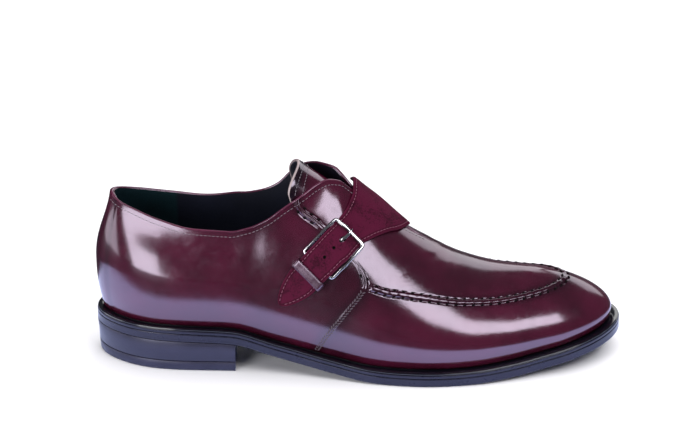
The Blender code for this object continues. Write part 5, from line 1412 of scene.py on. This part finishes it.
angle = np.linspace(0, 2 * np.pi, 161)[:-1]
angle = angle - 0.12 * np.sin(4 * angle)
radius = (abs(np.cos(angle)) ** FRAME_CORNER + abs(np.sin(angle)) ** FRAME_CORNER) ** (-1 / FRAME_CORNER)
length = BUCKLE_LENGTH / 2 * (1 - radius * np.cos(angle))
width = BUCKLE_WIDTH / 2 * radius * np.sin(angle)
height = FRONT_BAR_HEIGHT + (HEEL_BAR_HEIGHT - FRONT_BAR_HEIGHT) * length / BUCKLE_LENGTH
along = unit(np.stack([np.roll(line, -1) - np.roll(line, 1) for line in (length, width)], axis=-1))
turn = np.arange(24) * np.pi / 12
out = BAR_WIDTH / 2 * drawn_square(np.cos(turn), BAR_ROUND)
up = BAR_THICK / 2 * drawn_square(np.sin(turn), BAR_ROUND)
frame_stations = np.stack((length[:, None] - along[:, 1:] * out, width[:, None] + along[:, :1] * out,
                           height[:, None] + up), axis=-1)
buckle = swept("buckle_frame_steel", frame_stations, steel, loop=True)
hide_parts("buckle_frame")
PRONG = columns(
    "length                height",
    (1.000 * BUCKLE_LENGTH, 0.140 * PRONG_HEIGHT),
    (1.050 * BUCKLE_LENGTH, 0.192 * PRONG_HEIGHT),
    (1.075 * BUCKLE_LENGTH, 0.433 * PRONG_HEIGHT),
    (1.047 * BUCKLE_LENGTH, 0.660 * PRONG_HEIGHT),
    (1.000 * BUCKLE_LENGTH, 0.718 * PRONG_HEIGHT),
    (0.830 * BUCKLE_LENGTH, 0.710 * PRONG_HEIGHT),
    (0.580 * BUCKLE_LENGTH, 0.640 * PRONG_HEIGHT),
    (0.420 * BUCKLE_LENGTH, 0.540 * PRONG_HEIGHT),
    (0.315 * BUCKLE_LENGTH, 0.490 * PRONG_HEIGHT),
    (0.230 * BUCKLE_LENGTH, 0.640 * PRONG_HEIGHT),
    (0.125 * BUCKLE_LENGTH, 0.865 * PRONG_HEIGHT),
    (0.055 * BUCKLE_LENGTH, 0.980 * PRONG_HEIGHT),
    (0.000 * BUCKLE_LENGTH, 1.000 * PRONG_HEIGHT),
    (-0.052 * BUCKLE_LENGTH, 0.970 * PRONG_HEIGHT),
)
path = finer(np.stack((PRONG["length"], PRONG["height"]), axis=-1), 5)
normals = path_normals(path)
turn = np.arange(16) * np.pi / 8
across = PRONG_WIDTH / 2 * drawn_square(np.cos(turn), PRONG_ROUND)
up = PRONG_THICK / 2 * drawn_square(np.sin(turn), PRONG_ROUND)
point = np.array((-0.052, -0.03, 0.05)) * BUCKLE_LENGTH
narrow = np.interp(path[:, 0], point, (0.45, 0.7, 1.0))
prong_stations = np.stack((path[:, :1] + normals[:, :1] * up, narrow[:, None] * across,
                           path[:, 1:] + normals[:, 1:] * up), axis=-1)
prong = swept("buckle_prong_steel", prong_stations, steel)
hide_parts("buckle_prong")

# Studio. A pale seamless floor, soft boxes over it, and the camera at the photograph's angle. Polished
# calf mirrors the floor, which is violet near the shoe and dark further out for mirrored rays alone.
FLOOR_SIZE = 6.0
VIOLET_REACH = (0.26, 0.105)
floor_paper = dye("floor_paper", (0.86, 0.85, 0.88), (0.90, 0.89, 0.92), (0.55, 0.65), 0.02, cloud=3.0,
                  pore=600.0, scuff=20.0)
tree, shader = floor_paper.node_tree, floor_paper.node_tree.nodes["Principled BSDF"]
paper = shader.inputs["Base Color"].links[0].from_socket
place = tree.nodes.new("ShaderNodeTexCoord").outputs["Object"]
squeeze = (1 / VIOLET_REACH[0], 1 / VIOLET_REACH[1], 0.0)
flat = put(tree, "ShaderNodeMapping", {"Vector": place, "Scale": squeeze}).outputs[0]
far = put(tree, "ShaderNodeVectorMath", {0: flat}, operation="LENGTH").outputs["Value"]
fall_off = put(tree, "ShaderNodeMapRange", {"Value": far, "From Min": 0.97, "From Max": 1.10,
                                            "To Min": 1.9, "To Max": 0.04}, interpolation_type="SMOOTHSTEP")
violet = put(tree, "ShaderNodeVectorMath", {0: paper, 1: (0.62, 0.70, 1.00)}, operation="MULTIPLY").outputs[0]
mirrored = put(tree, "ShaderNodeVectorMath", {0: violet, "Scale": fall_off.outputs[0]}, operation="SCALE")
mirror_ray = tree.nodes.new("ShaderNodeLightPath").outputs["Is Glossy Ray"]
shown = put(tree, "ShaderNodeMix", {"Factor": mirror_ray, 6: paper, 7: mirrored.outputs[0]}, data_type="RGBA")
tree.links.new(shown.outputs[2], shader.inputs["Base Color"])
mesh = bpy.data.meshes.new("floor")
corners = np.array(((-1, -1), (1, -1), (1, 1), (-1, 1))) * FLOOR_SIZE / 2
mesh.from_pydata([(x, y, -0.0001) for x, y in corners], [], [(0, 1, 2, 3)])
mesh.materials.append(floor_paper)
floor = bpy.data.objects.new("floor", mesh)
bpy.context.scene.collection.objects.link(floor)

world = bpy.data.worlds.new("studio_air")
world.use_nodes = True
world.node_tree.nodes["Background"].inputs["Color"].default_value = (0.80, 0.82, 0.90, 1.0)
world.node_tree.nodes["Background"].inputs["Strength"].default_value = 0.10
bpy.context.scene.world = world


def soft_box(name, place, aim, size, power):
    """A flat light that looks from its place at its aim."""
    light = bpy.data.lights.new(name, "AREA")
    light.shape, light.size, light.size_y = "RECTANGLE", *size
    light.energy = power
    lamp = bpy.data.objects.new(name, light)
    lamp.location = place
    way = Vector(aim) - Vector(place)
    lamp.rotation_euler = way.to_track_quat("-Z", "Y").to_euler()
    bpy.context.scene.collection.objects.link(lamp)


soft_box("back_box", (0.51, 1.26, 0.62), (0.0, 0.0, 0.05), (1.20, 0.62), 4.6)
soft_box("window", (-0.66, -0.80, 0.33), (-0.48, 0.0, 0.28), (0.62, 0.62), 8.5)
soft_box("key_box", (0.68, -0.79, 1.10), (0.0, 0.0, 0.05), (0.85, 0.48), 9.0)
soft_box("left_card", (-1.30, -0.05, 0.26), (0.0, 0.0, 0.10), (0.80, 0.50), 3.5)
sky = bpy.data.lights.new("ceiling", "SUN")
sky.energy, sky.angle = 3.3, np.radians(80)
ceiling = bpy.data.objects.new("ceiling", sky)
ceiling.rotation_euler = (np.radians(-12), np.radians(8), 0.0)
ceiling.visible_glossy = False
bpy.context.scene.collection.objects.link(ceiling)
bpy.context.scene.view_settings.view_transform = "Standard"

CAMERA_TILT = np.radians(24.5)
CAMERA_AWAY = 1.8
CAMERA_AIM = np.array((-0.005, 0.00415, 0.0768))
camera_lens = bpy.data.cameras.new("camera")
camera_lens.lens, camera_lens.sensor_width = 163.03, 36.0
camera = bpy.data.objects.new("camera", camera_lens)
camera.location = CAMERA_AIM - CAMERA_AWAY * np.array((0.0, np.cos(CAMERA_TILT), -np.sin(CAMERA_TILT)))
camera.rotation_euler = (np.pi / 2 - CAMERA_TILT, 0.0, 0.0)
bpy.context.scene.collection.objects.link(camera)
bpy.context.scene.camera = camera
